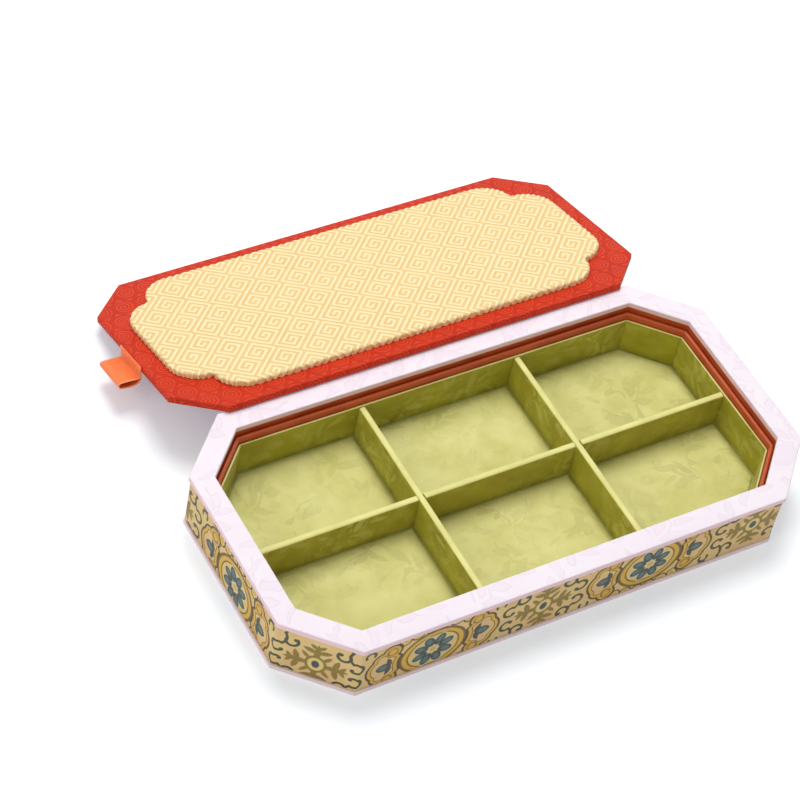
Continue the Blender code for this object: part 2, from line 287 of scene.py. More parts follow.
def finish_mesh(name, solid, material, matrix=None):
    """Turns a closed bmesh into a smooth-shaded piece with its faces outwards."""
    bmesh.ops.recalc_face_normals(solid, faces=solid.faces)
    if solid.calc_volume(signed=True) < 0:
        bmesh.ops.reverse_faces(solid, faces=solid.faces)
    mesh = bpy.data.meshes.new(name)
    solid.to_mesh(mesh)
    solid.free()
    if matrix is not None:
        mesh.transform(matrix)
    mesh.materials.append(material)
    mesh.shade_smooth()
    mesh.set_sharp_from_angle(angle=SHARP_ANGLE)
    return new_object(name, mesh)


def ripple(solid, height, patch, seed):
    """Moves every point a little along its normal, as cloth lies on glue and board."""
    solid.normal_update()
    shift = Vector((seed, seed, seed))
    moves = [vertex.normal * height * noise.noise(vertex.co / patch + shift)
             for vertex in solid.verts]
    for vertex, move in zip(solid.verts, moves):
        vertex.co += move


def swept_ring(name, section, material, spacing, unevenness):
    """A closed ring round the octagon: section is its (inset, height, corner radius) points."""
    solid, cloth = new_shell()
    rings = []
    for inset, height, corner in section:
        points, runs, around = octagon_loop(inset, corner, spacing)
        rings.append([solid.verts.new((x, y, height)) for x, y in points])
    count = len(runs)
    seam = next(k for k in range(count) if runs[k] > run_to(SEAM_SIDE) - TOUCHING)
    for low, high in pairs(rings):
        for k in range(count):
            after = (k + 1) % count
            face = solid.faces.new((low[k], low[after], high[after], high[k]))
            face.normal_update()
            upright = abs(face.normal.z) < STEEPEST_LEVEL
            lap = around if k >= seam else 0
            start = runs[k] - lap
            end = runs[after] + (0 if after else around) - lap
            for loop, run in zip(face.loops, (start, end, end, start)):
                spot = loop.vert.co
                loop[cloth].uv = (run, spot.z) if upright else (spot.x, spot.y)
    ripple(solid, unevenness, RIPPLE_PATCH, RIPPLE_SEED)
    return finish_mesh(name, solid, material)


def new_pattern(name, takes, gives, kind="Shader"):
    """A node group with named inputs and outputs, what it is given, and its end sockets."""
    tree = bpy.data.node_groups.new(name, kind + "NodeTree")
    for way, sockets in (("INPUT", takes), ("OUTPUT", gives)):
        for label, what in sockets.items():
            tree.interface.new_socket(label, in_out=way, socket_type="NodeSocket" + what)
    given = by_name(tree.nodes.new("NodeGroupInput").outputs)
    return tree, given, tree.nodes.new("NodeGroupOutput").inputs


def use_pattern(pattern, **values):
    """Places a pattern in a finish and gives its outputs by name."""
    tree = next(iter(values.values())).tree
    placed = tree.nodes.new("ShaderNodeGroup")
    placed.node_tree = pattern
    for label, value in values.items():
        feed(placed.inputs[label], value)
    return by_name(placed.outputs)


def split(place):
    """Across, along and up of a place."""
    parts = place.tree.nodes.new("ShaderNodeSeparateXYZ")
    feed(parts.inputs[0], place)
    return [Amount(part) for part in parts.outputs]


def joined(across, along):
    return add_node(across.tree, "ShaderNodeCombineXYZ", {0: across, 1: along})


def with_place(operation, place, other, gives="Vector"):
    """One step of arithmetic with a place."""
    inputs = {0: place, 1: other}
    return add_node(place.tree, "ShaderNodeVectorMath", inputs, gives, operation=operation)


def enlarged(place, times):
    inputs = {0: place, "Scale": times}
    return add_node(place.tree, "ShaderNodeVectorMath", inputs, operation="SCALE")


def stretched(place, x, y):
    """A place with its two directions drawn out."""
    return with_place("MULTIPLY", place, (x, y, 1))


def distance(place, x, y):
    """Distance of a place from a fixed point."""
    return with_place("DISTANCE", place, (x, y, 0), "Value")


def every_second(value):
    """1 on every second whole step of a value, 0 on the others."""
    return reckon("FLOORED_MODULO", reckon("FLOOR", value), 2.0)


def inside(depth, softness):
    """1 where depth is over 0, 0 where it is under, with an edge this soft."""
    return ramp(depth, 1 / softness, 0.5)


def within(*depths):
    """Depth inside all of several shapes."""
    return reduce(partial(reckon, "MINIMUM"), depths)


def either(*depths):
    """Depth inside any of several shapes."""
    return reduce(partial(reckon, "MAXIMUM"), depths)


def any_of(shape, place, *rows):
    """Depth inside any of several shapes of one kind."""
    return either(*[shape(place, *row) for row in rows])


def disc(place, x, y, radius):
    return radius - distance(place, x, y)


def stroke(depth, width):
    """Depth inside a line of this width that follows the edge of a shape."""
    return width / 2 - abs(depth)


def leaf(place, x, y, turn, half_length, half_width):
    """Depth inside a leaf with two pointed ends, from two crossing circles."""
    radius = (half_length ** 2 + half_width ** 2) / (2 * half_width)
    off, turn = radius - half_width, radians(turn)
    off_x, off_y = -sin(turn) * off, cos(turn) * off
    circles = [distance(place, x + way * off_x, y + way * off_y) for way in (1, -1)]
    return radius - either(*circles)


def half_plane(place, x, y, turn):
    """Depth on the side of a line that its turn points to."""
    facing = (cos(radians(turn)), sin(radians(turn)), 0)
    along = with_place("DOT_PRODUCT", place, facing, "Value")
    return along - (x * facing[0] + y * facing[1])


def curl(place, x, y, radius, width, *turns):
    """Depth inside a round line, on the sides that its turns point to."""
    sides = any_of(half_plane, place, *[(x, y, turn) for turn in turns])
    return within(stroke(disc(place, x, y, radius), width), sides)


# Woven ground of every cloth: threads that pass over and under, and the streaks of uneven yarn
weave, given, result = new_pattern(
    "Weave", {"Place": "Vector", "Threads": "Float"}, {"Height": "Float", "Streaks": "Float"}
)
counted = enlarged(given["Place"], given["Threads"])
warp, weft, _ = split(counted)
over = reckon("FLOORED_MODULO", reckon("FLOOR", warp) + reckon("FLOOR", weft), 2.0)
warp_round, weft_round = [abs(reckon("SINE", way * pi)) for way in (warp, weft)]
feed(result["Height"], warp_round * over + weft_round * (1.0 - over))
long_way = mottle(stretched(counted, 0.02, 0.9), 1.0, detail=1)
cross_way = mottle(stretched(counted, 0.9, 0.02), 1.0, detail=1)
feed(result["Streaks"], (long_way + cross_way) * 0.5)

# The figure of the side cloth. Both directions are folded, so that a quarter of it is drawn
ROSETTE_RUN = 34.7
HALF_REPEAT = 53.3
HALF_ROW = 14.6
OVAL_LONG, OVAL_HIGH = 15.3, 13.1
PETAL_STRETCH = 0.64

figure, given, result = new_pattern(
    "Side cloth figure",
    {"Across": "Float", "Up": "Float"},
    dict.fromkeys((
        "Outline", "Ochre", "Line", "Petal", "Petal heart", "Pale", "Star", "Star pale", "Dot",
        "Scroll", "Scroll rim", "Medallion",
    ), "Float"),
)
across = reckon("PINGPONG", given["Across"], HALF_REPEAT)
up = reckon("PINGPONG", given["Up"], HALF_ROW)
spot = joined(across, up)
# Oval ring round the rosette
oval = disc(stretched(spot, OVAL_HIGH / OVAL_LONG, 1), 0, 0, OVAL_HIGH)
ring_lines = either(stroke(oval, 1.25), stroke(oval - 2.8, 0.65))
ring_band = within(oval, 2.6 - oval)
# Rosette of eight petals, folded to one eighth of a turn
radius = distance(spot, 0, 0)
turned = reckon("PINGPONG", reckon("ARCTAN2", up, across), pi / 4) - pi / 8
petal_spot = joined(radius * reckon("COSINE", turned), radius * reckon("SINE", turned))
petal_spot = stretched(petal_spot, PETAL_STRETCH, 1)
petal = disc(petal_spot, 6.3 * PETAL_STRETCH, 0, 2.35)
petal_heart = disc(petal_spot, 6.7 * PETAL_STRETCH, 0, 1.30)
button = 1.6 - radius
button_rim = within(2.6 - radius, radius - 1.6)
# Cloud head of three lobes between the ring and the star
lobes = any_of(disc, spot, (22.6, 0, 8.7), (20.4, 9.6, 4.4), (24.4, 6.0, 4.6))
cloud = within(lobes, -(oval + 0.9))
cloud_band = within(cloud, 1.9 - cloud)
cloud_eye = within(disc(spot, 20.0, 9.9, 2.9), cloud)
cloud_line = either(stroke(cloud - 2.1, 0.42), curl(spot, 19.9, 9.6, 2.4, 0.5, -60))
blade = any_of(
    leaf, spot, (23.4, 0, 0, 3.6, 2.7), (20.8, 3.0, 65, 3.0, 1.1), (21.6, 0, 90, 4.2, 1.4)
)
blade_heart = leaf(spot, 23.6, 0, 0, 2.4, 1.5)
# Star flower at the other end of the fold
apart = joined(HALF_REPEAT - across, up)
star_ring, star_pale, star_dot = [
    disc(stretched(apart, 1, flattening), 0, 0, size)
    for size, flattening in ((4.9, 0.9), (3.6, 0.88), (1.75, 0.74))
]
arms = any_of(
    leaf, apart,
    (8.0, 0, 0, 6.4, 1.5), (8.7, 2.8, 72, 3.6, 1.35), (11.6, 1.3, 55, 2.4, 1.0),
    (0, 7.2, 90, 5.8, 1.4), (3.0, 8.5, 18, 3.6, 1.3), (1.6, 11.2, 35, 2.4, 1.0),
    (4.6, 4.8, 46, 3.0, 1.0),
)
# Scroll hooks in the four corners round the star, and scallops between two rows of ovals
hooks = either(
    curl(apart, 17.2, 4.9, 2.9, 1.45, -45, 45),
    disc(apart, 15.5, 3.1, 1.05),
    curl(apart, 11.4, 10.4, 2.8, 1.45, -135, -45),
    disc(apart, 9.8, 11.6, 1.05),
    within(
        stroke(disc(apart, 19.2, 11.6, 5.4), 1.35),
        half_plane(apart, 0, 7.2, 90),
        half_plane(apart, 17.4, 0, 180),
    ),
    curl(apart, 22.6, 12.2, 2.1, 1.25, 45, 135),
)
free = -either(cloud, oval)
hooks = within(hooks, free - 0.45)
scallops = any_of(disc, spot, (3.1, 15.9, 2.8), (9.2, 15.3, 3.2), (15.0, 13.6, 2.7))
scallops = within(scallops, free - 0.5)
for label, depth, softness in (
    ("Scroll", hooks, 0.3),
    ("Scroll rim", either(hooks + 0.75, scallops), 0.5),
    ("Medallion", oval, 0.3),
    ("Star", either(star_ring, arms), 0.4),
    ("Dot", star_dot, 0.3),
    ("Star pale", star_pale, 0.5),
    ("Pale", either(petal + 0.5, button_rim), 0.4),
    ("Petal", either(petal, blade), 0.3),
    ("Petal heart", either(petal_heart, blade_heart), 0.8),
    ("Ochre", either(ring_band, cloud_band, cloud_eye, button, scallops - 1.35), 0.18),
    ("Line", either(ring_lines, cloud_line), 0.3),
    ("Outline", either(stroke(cloud, 1.05), stroke(scallops, 0.75)), 0.25),
):
    feed(result[label], inside(depth, softness))


def cloth_place(tree):
    """Place on the cloth itself, in metres, from the piece's own map."""
    return add_node(tree, "ShaderNodeUVMap", {}, uv_map="cloth")


def new_cloth(name, threads, **gloss):
    """An empty cloth finish: its material, shader, place on the cloth and woven threads."""
    material, shader = new_finish(name, **gloss)
    place = cloth_place(material.node_tree)
    return material, shader, place, use_pattern(weave, Place=place, Threads=threads)


def overlaid(colour, *layers):
    """A colour with others over it, each with its mask and with how strongly it covers."""
    for mask, share, layer in layers:
        colour = tint(mask if share == 1 else mask * share, colour, layer)
    return colour


SWAY_RUN, SWAY_START = 719.2, 85
SWAY_HEIGHT, SWAY_MIDDLE = 4.3, 15.0
BROCADE_THREADS = [
    ("Medallion", 0.75, (243, 206, 112)), ("Scroll rim", 0.6, (236, 218, 128)),
    ("Scroll", 1, (48, 50, 44)), ("Star", 1, (142, 120, 26)), ("Star pale", 1, (238, 214, 130)),
    ("Ochre", 1, (232, 184, 54)), ("Line", 1, (116, 88, 26)), ("Outline", 1, (62, 52, 38)),
    ("Pale", 1, (222, 220, 184)), ("Petal", 1, (34, 56, 64)), ("Petal heart", 1, (76, 120, 126)),
    ("Dot", 1, (40, 56, 92)),
]

side_brocade, shader, place, woven = new_cloth(
    "side_brocade_finish", threads=2400, roughness=0.55, sheen=0.04
)
run, rise, _ = split(place)
# The strip was wrapped a little askew, so the row of figures climbs along the front
sway = line(run, 2 * pi * MILLIMETRES / SWAY_RUN, -2 * pi * SWAY_START / SWAY_RUN)
centre_height = line(reckon("SINE", sway), SWAY_HEIGHT, SWAY_MIDDLE)
across = line(run, MILLIMETRES, -ROSETTE_RUN) + line(mottle(place, 110, detail=1), 0.8, -0.4)
drawn = use_pattern(figure, Across=across, Up=rise * MILLIMETRES - centre_height)
colour = overlaid(
    tint(ramp(mottle(place, 60), 2.2, -0.6), (243, 213, 144), (232, 188, 134)),
    *[(drawn[label], share, thread) for label, share, thread in BROCADE_THREADS],
    (ramp(woven["Streaks"], 0.9, -0.25), 0.35, (236, 214, 160)),
)
coloured = either(*[drawn[label] for label in ("Ochre", "Petal", "Star", "Scroll")])
dress(shader, colour, (coloured, -0.15, 0.62), raise_by(woven["Height"], 0.00007))

wrap_low = WALL_LOW + WRAP_FOLD
wrap_section = [
    (WRAP_INNER, WALL_LOW, 0.0004),
    (WRAP_OUTER + 0.0002, WALL_LOW, 0.0007),
    (WRAP_OUTER + 0.00005, WALL_LOW + 0.00008, 0.0008),
    *[(WRAP_OUTER, wrap_low + (WALL_TOP - wrap_low) * row / WRAP_ROWS, 0.0008)
      for row in range(WRAP_ROWS + 1)],
    (WRAP_INNER, WALL_TOP, 0.0004),
]
brocade = swept_ring("brocade_strip", wrap_section, side_brocade, 0.0035, 0.00012)
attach(brocade, "case")
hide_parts("brocade_wrap")

# ---------------------------------------------------------------------------------------------
# Cover of the top frame. Pale lilac damask, glued over the frame board and turned down over its
# outer and inner edges. A faint tone-on-tone pattern of sprigs runs over it.

FRAME_WIDTH = 0.0102
FRAME_LOW = 0.02835
FRAME_ROWS = 6
COVER_SKIN = 0.00045
FRAME_ROUND = 0.00055
SPRIG_WIDE, SPRIG_HIGH = 44.0, 38.0
SPRIG_LEAVES = [
    (-14.0, -10.5, 200, 6.5, 2.4), (-9.0, -3.0, 95, 6.0, 2.3), (-6.5, -12.0, 300, 5.5, 2.0),
    (-2.0, 4.5, 75, 6.8, 2.5), (0.5, -6.5, 325, 6.4, 2.3), (6.0, 9.5, 60, 6.5, 2.4),
    (8.0, -1.0, 340, 6.6, 2.4), (13.5, 12.5, 30, 5.8, 2.1), (15.5, 4.5, 350, 5.2, 1.9),
    (-16.5, 8.5, 130, 4.2, 1.5), (-12.5, 12.0, 60, 4.2, 1.5), (16.0, -12.0, 20, 4.4, 1.6),
]

sprigs, given, result = new_pattern(
    "Sprigs",
    {"Place": "Vector", "Size": "Float"},
    dict.fromkeys(("Leaf", "Vein", "Edge"), "Float"),
)
straight = enlarged(given["Place"], reckon("DIVIDE", MILLIMETRES, given["Size"]))
drift = mottle(straight, 0.07, detail=1, gives="Color")
bent = {0: drift, 1: (14, 14, 0), 2: straight}
x, y, _ = split(add_node(sprigs, "ShaderNodeVectorMath", bent, operation="MULTIPLY_ADD"))
odd = every_second(x / SPRIG_WIDE)
y = reckon("WRAP", line(odd, SPRIG_HIGH / 2, y), SPRIG_HIGH / 2, -SPRIG_HIGH / 2)
x = reckon("WRAP", x, SPRIG_WIDE / 2, -SPRIG_WIDE / 2) * line(odd, 2.0, -1.0)
spot = joined(x, y)
leaves = any_of(leaf, spot, *SPRIG_LEAVES)
stems = either(
    within(stroke(disc(spot, -18.0, 26.0, 34.0), 0.7), half_plane(spot, 0, -14, 80)),
    within(stroke(disc(spot, 12.0, -16.0, 19.0), 0.6), half_plane(spot, -6, 0, 160)),
)
sprig = either(leaves, stems)
veins = within(leaves, stroke(reckon("PINGPONG", x + y, 1.1), 0.3))
feed(result["Leaf"], inside(sprig, 0.5))
feed(result["Edge"], inside(stroke(sprig, 0.45), 0.35))
feed(result["Vein"], inside(veins, 0.4))

lilac_damask, shader, place, woven = new_cloth("lilac_damask_finish", threads=2800, sheen=0.1)
sprig = use_pattern(sprigs, Place=place, Size=1.0)
# Painted shade: the sides of the cover that face down are painted darker and pinker than its top.
normal = add_node(lilac_damask.node_tree, "ShaderNodeNewGeometry", {}, gives="Normal")
turned_down_shade = ramp(split(normal)[2], -1.6, 1.25)
colour = overlaid(
    tint(ramp(mottle(place, 38, detail=3), 2.0, -0.5), (253, 244, 250), (249, 236, 246)),
    (sprig["Leaf"], 0.45, (243, 227, 240)),
    (sprig["Edge"], 0.22, (212, 190, 208)),
    (turned_down_shade, 0.75, (252, 208, 215)),
)
dress(shader, colour, (sprig["Leaf"], -0.14, 0.56), raise_by(woven["Height"], 0.00005))


def rounded(edge, top, radius, turns, corner):
    """Section points where cloth is folded over an edge, which a negative radius faces inwards."""
    return [
        (
            edge + radius * (1 - cos(radians(turn))),
            top - abs(radius) * (1 - sin(radians(turn))),
            corner,
        )
        for turn in turns
    ]


frame_section = [
    (COVER_SKIN, FRAME_LOW, 0.0006),
    (0.0, FRAME_LOW, 0.0010),
    *rounded(0.0, HEIGHT, FRAME_ROUND, (0, 22, 45, 68, 90), 0.0010),
    *[(FRAME_ROUND + (FRAME_WIDTH - 2 * FRAME_ROUND) * row / FRAME_ROWS, HEIGHT,
       0.0009 - 0.0001 * row) for row in range(1, FRAME_ROWS)],
    *rounded(FRAME_WIDTH, HEIGHT, -FRAME_ROUND, (90, 68, 45, 22, 0), 0.0003),
    (FRAME_WIDTH, FRAME_LOW, 0.0003),
    (FRAME_WIDTH - COVER_SKIN, FRAME_LOW, 0.0003),
    (FRAME_WIDTH - COVER_SKIN, HEIGHT - COVER_SKIN, 0.0003),
    (COVER_SKIN, HEIGHT - COVER_SKIN, 0.0006),
]
frame_cloth = swept_ring("frame_cloth", frame_section, lilac_damask, 0.0035, 0.00007)
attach(frame_cloth, "case")
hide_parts("frame_cover")

# ---------------------------------------------------------------------------------------------
# Recess wall and seat ring. Strips of card in terracotta cloth, glued inside the side boards.
# The ring's top is rounded by the folded cloth, and the lid comes to rest on it.

RECESS_INNER = 0.0100
RECESS_OUTER = 0.0084
SEAT_OUTER = 0.0103
SEAT_INNER = 0.0122
SEAT_TOP = 0.0256
SEAT_ROUND = 0.00092
BULGE_LOW, BULGE_MIDDLE, BULGE_HIGH = 0.0240, 0.0260, 0.0272

terracotta, shader, place, woven = new_cloth(
    "terracotta_finish", threads=2300, sheen=0.05, specular=0.4
)
shader.inputs["Coat Weight"].default_value = 0.22
shader.inputs["Coat Roughness"].default_value = 0.22
patches = mottle(place, 70, detail=3)
colour = overlaid(
    tint(ramp(patches, 2.4, -0.7), (178, 60, 8), (202, 84, 24)),
    (ramp(woven["Streaks"], 2.0, -0.7), 0.35, (224, 112, 56)),
)
dress(shader, colour, (patches, 0.2, 0.26), raise_by(woven["Height"], 0.00006))

recess_section = [
    (RECESS_OUTER, WALL_LOW, 0.0004),
    (RECESS_INNER, WALL_LOW, 0.0003),
    (RECESS_INNER, BULGE_LOW, 0.0003),
    (RECESS_INNER - 0.00004, BULGE_MIDDLE, 0.0003),
    (RECESS_INNER, BULGE_HIGH, 0.0003),
    (RECESS_INNER - 0.0001, WALL_TOP - 0.0002, 0.0003),
    (RECESS_INNER - 0.0004, WALL_TOP, 0.0003),
    (RECESS_OUTER, WALL_TOP, 0.0004),
]
recess_cloth = swept_ring("recess_cloth", recess_section, terracotta, 0.004, 0.00005)
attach(recess_cloth, "case")
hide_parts("recess_wall")

seat_section = [
    (SEAT_OUTER, WALL_LOW, 0.0006),
    *rounded(SEAT_OUTER, SEAT_TOP, SEAT_ROUND, (0, 20, 40, 60, 80), 0.0006),
    *rounded(SEAT_INNER, SEAT_TOP, -SEAT_ROUND, (80, 60, 40, 20, 0), 0.0004),
    (SEAT_INNER, WALL_LOW, 0.0004),
]
seat_cloth = swept_ring("seat_cloth", seat_section, terracotta, 0.003, 0.00008)
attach(seat_cloth, "case")
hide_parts("seat_ring")

# ---------------------------------------------------------------------------------------------
# Walls of the insert. Eight cards in green damask, mitred at the octagon's corners and glued
# inside the seat ring. Their tops are painted paler, as a cream line, and their green is painted
# darker than the pads' as painted shade.

INSERT_OUTER = 0.0125
INSERT_INNER = 0.0134
INSERT_LOW = 0.0034
INSERT_TOP = 0.0224
MITRE_GAP = 0.00006
EDGE_SOFTNESS = 0.0002
CARD_CELL = 0.005
CARD_ROWS = (0.0170, 0.0120, 0.0075)
CARD_UNEVENNESS = 0.00010
CARD_PATCH = 0.014
CARD_SEED = 5.3
CUT_SHIFT = 0.02
INSERT_PARTS = [
    "wall_front", "corner_front_right", "wall_right", "corner_back_right",
    "wall_back", "corner_back_left", "wall_left", "corner_front_left",
]


def green_cloth(name, lit, shade, figure_tone, edge_tone, edge_height, figure_share=0.75):
    """Green damask, painted paler above edge_height: a painted highlight on the dividers' top
    edges and a cream line on the walls' tops.
    """
    material, shader, place, woven = new_cloth(name, threads=2800, sheen=0.08)
    sprig = use_pattern(sprigs, Place=place, Size=0.85)
    patches = mottle(place, 55, detail=3)
    clusters = ramp(mottle(place, 22, detail=1), 3.4, -1.3)
    figured = sprig["Leaf"] * clusters
    # Painted sheen: lighter mottled patches, gathered in the clusters, where the damask catches
    # the light.
    sheen_mottle = ramp(mottle(place, 130, detail=5, roughness=0.65), 6.0, -2.75)
    outlined = either(sprig["Edge"], sprig["Vein"]) * clusters
    # The top is painted paler above edge_height, in random patches.
    height = split(object_place(material.node_tree))[2]
    top = ramp(height, 1 / EDGE_SOFTNESS, -edge_height / EDGE_SOFTNESS)
    colour = overlaid(
        tint(ramp(patches, 2.2, -0.6), shade, lit),
        (figured, figure_share, figure_tone),
        (sheen_mottle * line(clusters, 0.75, 0.25), 0.75 * figure_share, figure_tone),
        (outlined, 0.22, [value * 0.72 for value in shade]),
        (top * ramp(patches, 0.8, 0.45), 1, edge_tone),
    )
    dress(shader, colour, (figured, -0.2, 0.55), raise_by(woven["Height"], 0.00005))
    return material


# Painted shade: the walls' green is painted much darker than the pads' green of the same damask,
# as upright walls inside the tray get less light.
wall_green = green_cloth(
    "wall_green_finish", lit=(178, 172, 28), shade=(150, 142, 8),
    figure_tone=(208, 205, 98), edge_tone=(224, 214, 140), edge_height=INSERT_TOP - 0.0002,
)
wall_section = [
    (INSERT_OUTER, INSERT_LOW),
    (INSERT_OUTER, INSERT_TOP - 0.00012),
    (INSERT_OUTER + 0.00012, INSERT_TOP),
    (INSERT_INNER - 0.00025, INSERT_TOP),
    (INSERT_INNER - 0.00007, INSERT_TOP - 0.00007),
    (INSERT_INNER, INSERT_TOP - 0.00025),
    *[(INSERT_INNER, height) for height in (*CARD_ROWS, INSERT_LOW)],
]
for side, part in enumerate(INSERT_PARTS):
    solid, cloth = new_shell()
    start, end = list(pairs(octagon(INSERT_INNER)))[side]
    length = (end - start).length
    steps = max(2, round(length / CARD_CELL))
    rows = []
    for inset, height in wall_section:
        start, end = list(pairs(octagon(inset)))[side]
        gap = (end - start).normalized() * MITRE_GAP
        start, end = start + gap, end - gap
        rows.append([solid.verts.new((*start.lerp(end, step / steps), height))
                     for step in range(steps + 1)])
    for low, high in pairs(rows):
        for step in range(steps):
            face = solid.faces.new((low[step], low[step + 1], high[step + 1], high[step]))
            for loop, share in zip(face.loops, (step, step + 1, step + 1, step)):
                run = run_to(side) + length * share / steps
                loop[cloth].uv = (run, loop.vert.co.z + CUT_SHIFT * side)
    for end in (0, -1):
        solid.faces.new([row[end] for row in rows])
    ripple(solid, CARD_UNEVENNESS, CARD_PATCH, CARD_SEED + side)
    card = finish_mesh("insert_card_" + part, solid, wall_green)
    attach(card, "case")
    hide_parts("insert_" + part)
paint("insert_floor", paper("insert_floor_finish", (190, 188, 110), (150, 150, 70)))

# ---------------------------------------------------------------------------------------------
# Dividers. One long card and two cross cards in green damask, halved over each other where they
# cross. The folded cloth rounds their top edges, where a painted highlight makes them paler.

DIVIDER_BOARD = 0.0030
DIVIDER_TOP = 0.0222
DIVIDER_ROUND = 0.0010
CROSS_X = 0.0395
SLOT_GAP = 0.0003
RIM_ANGLE = 0.5
ROUND_STEPS = 5
STEEPEST_TOP = 0.7

# Painted shade: the dividers' green is painted darker than the pads' green of the same damask,
# like the walls'; their tops carry a painted highlight.
divider_green = green_cloth(
    "divider_green_finish", lit=(182, 176, 32), shade=(154, 146, 10),
    figure_tone=(210, 207, 100), edge_tone=(240, 236, 154), edge_height=DIVIDER_TOP - 0.0006,
)


def new_parts(drawn, kind=bmesh.types.BMVert):
    """The points, or edges, among what an operation has drawn."""
    return [item for item in drawn["geom"] if isinstance(item, kind)]


def divider_cloth(name, inside_half, notches, from_top, x, turn, seed):
    """An upright board with rounded edges, notched to half its height where others cross it."""
    half_length = inside_half - INSERT_INNER - SLOT_GAP
    half_height = (DIVIDER_TOP - INSERT_LOW) / 2
    half_notch = DIVIDER_BOARD / 2 + SLOT_GAP
    outline = [(-half_length, -half_height)]
    for notch in notches:
        start, end = notch - half_notch, notch + half_notch
        outline += [
            (start, -half_height), (start, SLOT_GAP / 2), (end, SLOT_GAP / 2), (end, -half_height)
        ]
    outline += [
        (half_length, -half_height), (half_length, half_height), (-half_length, half_height)
    ]
    if from_top:
        outline = [(a, -b) for a, b in reversed(outline)]
    solid = bmesh.new()
    face = solid.faces.new([solid.verts.new((a, -DIVIDER_BOARD / 2, b)) for a, b in outline])
    back = new_parts(bmesh.ops.extrude_face_region(solid, geom=[face]))
    bmesh.ops.translate(solid, verts=back, vec=(0, DIVIDER_BOARD, 0))
    bmesh.ops.recalc_face_normals(solid, faces=solid.faces)
    top = max(vertex.co.z for vertex in solid.verts)
    rim = [
        edge for edge in solid.edges
        if min(vertex.co.z for vertex in edge.verts) > top - TOUCHING
        and edge.calc_face_angle(0) > RIM_ANGLE
        and abs(edge.verts[0].co.x - edge.verts[1].co.x) > TOUCHING
    ]
    bmesh.ops.bevel(
        solid, geom=rim, offset=DIVIDER_ROUND, segments=ROUND_STEPS, profile=0.5, affect="EDGES"
    )
    cloth = solid.loops.layers.uv.new("cloth")
    for face in solid.faces:
        flat = abs(face.normal.z) > STEEPEST_TOP
        for loop in face.loops:
            spot = loop.vert.co
            loop[cloth].uv = (spot.x + seed, (spot.y if flat else spot.z) + seed / 3)
    place = Matrix.Translation((x, 0, (INSERT_LOW + DIVIDER_TOP) / 2))
    solid.transform(place @ Matrix.Rotation(turn, 4, "Z"))
    board = finish_mesh(name + "_cloth", solid, divider_green)
    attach(board, "case")
    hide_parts(name)


divider_cloth(
    "divider_long", LENGTH / 2, (-CROSS_X, CROSS_X), from_top=True, x=0, turn=0, seed=0.03
)
for side, x, seed in (("left", -CROSS_X, 0.21), ("right", CROSS_X, 0.37)):
    divider_cloth(
        "divider_cross_" + side, WIDTH / 2, (0,), from_top=False, x=x, turn=pi / 2, seed=seed
    )

# ---------------------------------------------------------------------------------------------
# Floor pads. A thin wadding on card under green damask, one in each compartment, pushed in from
# above, so that the cloth swells between the walls and creases near its corners.

PAD_GAP = 0.0006
PAD_TOP = 0.0056
PAD_CELL = 0.0018
PAD_FOLD = 0.0005
PAD_SIDE = 0.00025
PAD_EDGE = 0.0045
PAD_SWELL = 0.0008
PAD_CREASE = 0.00018
PAD_FILL = 0.82
PAD_FILL_RISE = 0.42
PAD_CROWN = 0.14
PAD_CUT_X, PAD_CUT_Y = 0.07, 0.05
CREASE_X, CREASE_Y = 90, 160
CORNER_DENT = 0.0075
DENT_DEPTH = 0.42
DENT_CREASE = 0.5
DENT_CREASES = 260
WADDING_PRESSURE = 4.0
CLOTH_SCALE = 20
CLOTH_STEPS = 20
CLOTH_SHRINK = -0.012

# Painted light: the pads' green is the lit copy of the same damask, painted paler than the walls'
# and dividers' green.
floor_green = green_cloth(
    "floor_green_finish", lit=(232, 228, 152), shade=(212, 207, 120),
    figure_tone=(180, 176, 94), edge_tone=(232, 222, 160), edge_height=1.0, figure_share=0.4,
)


def trimmed(polygon, axis, limit, keep_above):
    """The part of a polygon on one side of a straight cut."""
    kept = []
    for k, point in enumerate(polygon):
        before = polygon[k - 1]
        ahead, behind = point[axis] - limit, before[axis] - limit
        if not keep_above:
            ahead, behind = -ahead, -behind
        if (ahead >= 0) != (behind >= 0):
            share = behind / (behind - ahead)
            cut = [a + (b - a) * share for a, b in zip(before, point)]
            cut[axis] = limit
            kept.append(tuple(cut))
        if ahead >= 0:
            kept.append(point)
    return kept


def between(polygon, axis, low, high):
    return trimmed(trimmed(polygon, axis, low, True), axis, high, False)


def cut_sheet(outline, lines_x, lines_y, bands=()):
    """A flat sheet cut along straight lines, as its points and its faces.

    Where the outline has an inward corner, a band or a line in x has to pass through it.
    """
    numbers, points, faces = {}, [], []

    def number(point):
        key = (round(point[0] * 1e6), round(point[1] * 1e6))
        if key not in numbers:
            numbers[key] = len(points)
            points.append(point)
        return numbers[key]

    limits = [lines_y[0], *bands, lines_y[-1]]
    for band_low, band_high in zip(limits, limits[1:]):
        band = between(outline, 1, band_low, band_high)
        for left, right in zip(lines_x, lines_x[1:]):
            strip = between(band, 0, left, right)
            if len(strip) < 3:
                continue
            ends = [
                (min(a[1], b[1]), max(a[1], b[1]))
                for a, b in pairs(strip)
                if a[0] != b[0] or a[0] not in (left, right)
            ]
            lowest = max(band_low, min(y for _, y in strip))
            highest = min(band_high, max(y for _, y in strip))
            for low, high in zip(lines_y, lines_y[1:]):
                if high <= lowest or low >= highest:
                    continue
                cell = [(left, low), (right, low), (right, high), (left, high)]
                if any(bottom < high and top > low for bottom, top in ends):
                    cell = between(strip, 1, low, high)
                face = list(dict.fromkeys(number(corner) for corner in cell))
                if len(face) > 2:
                    faces.append(face)
    return points, faces


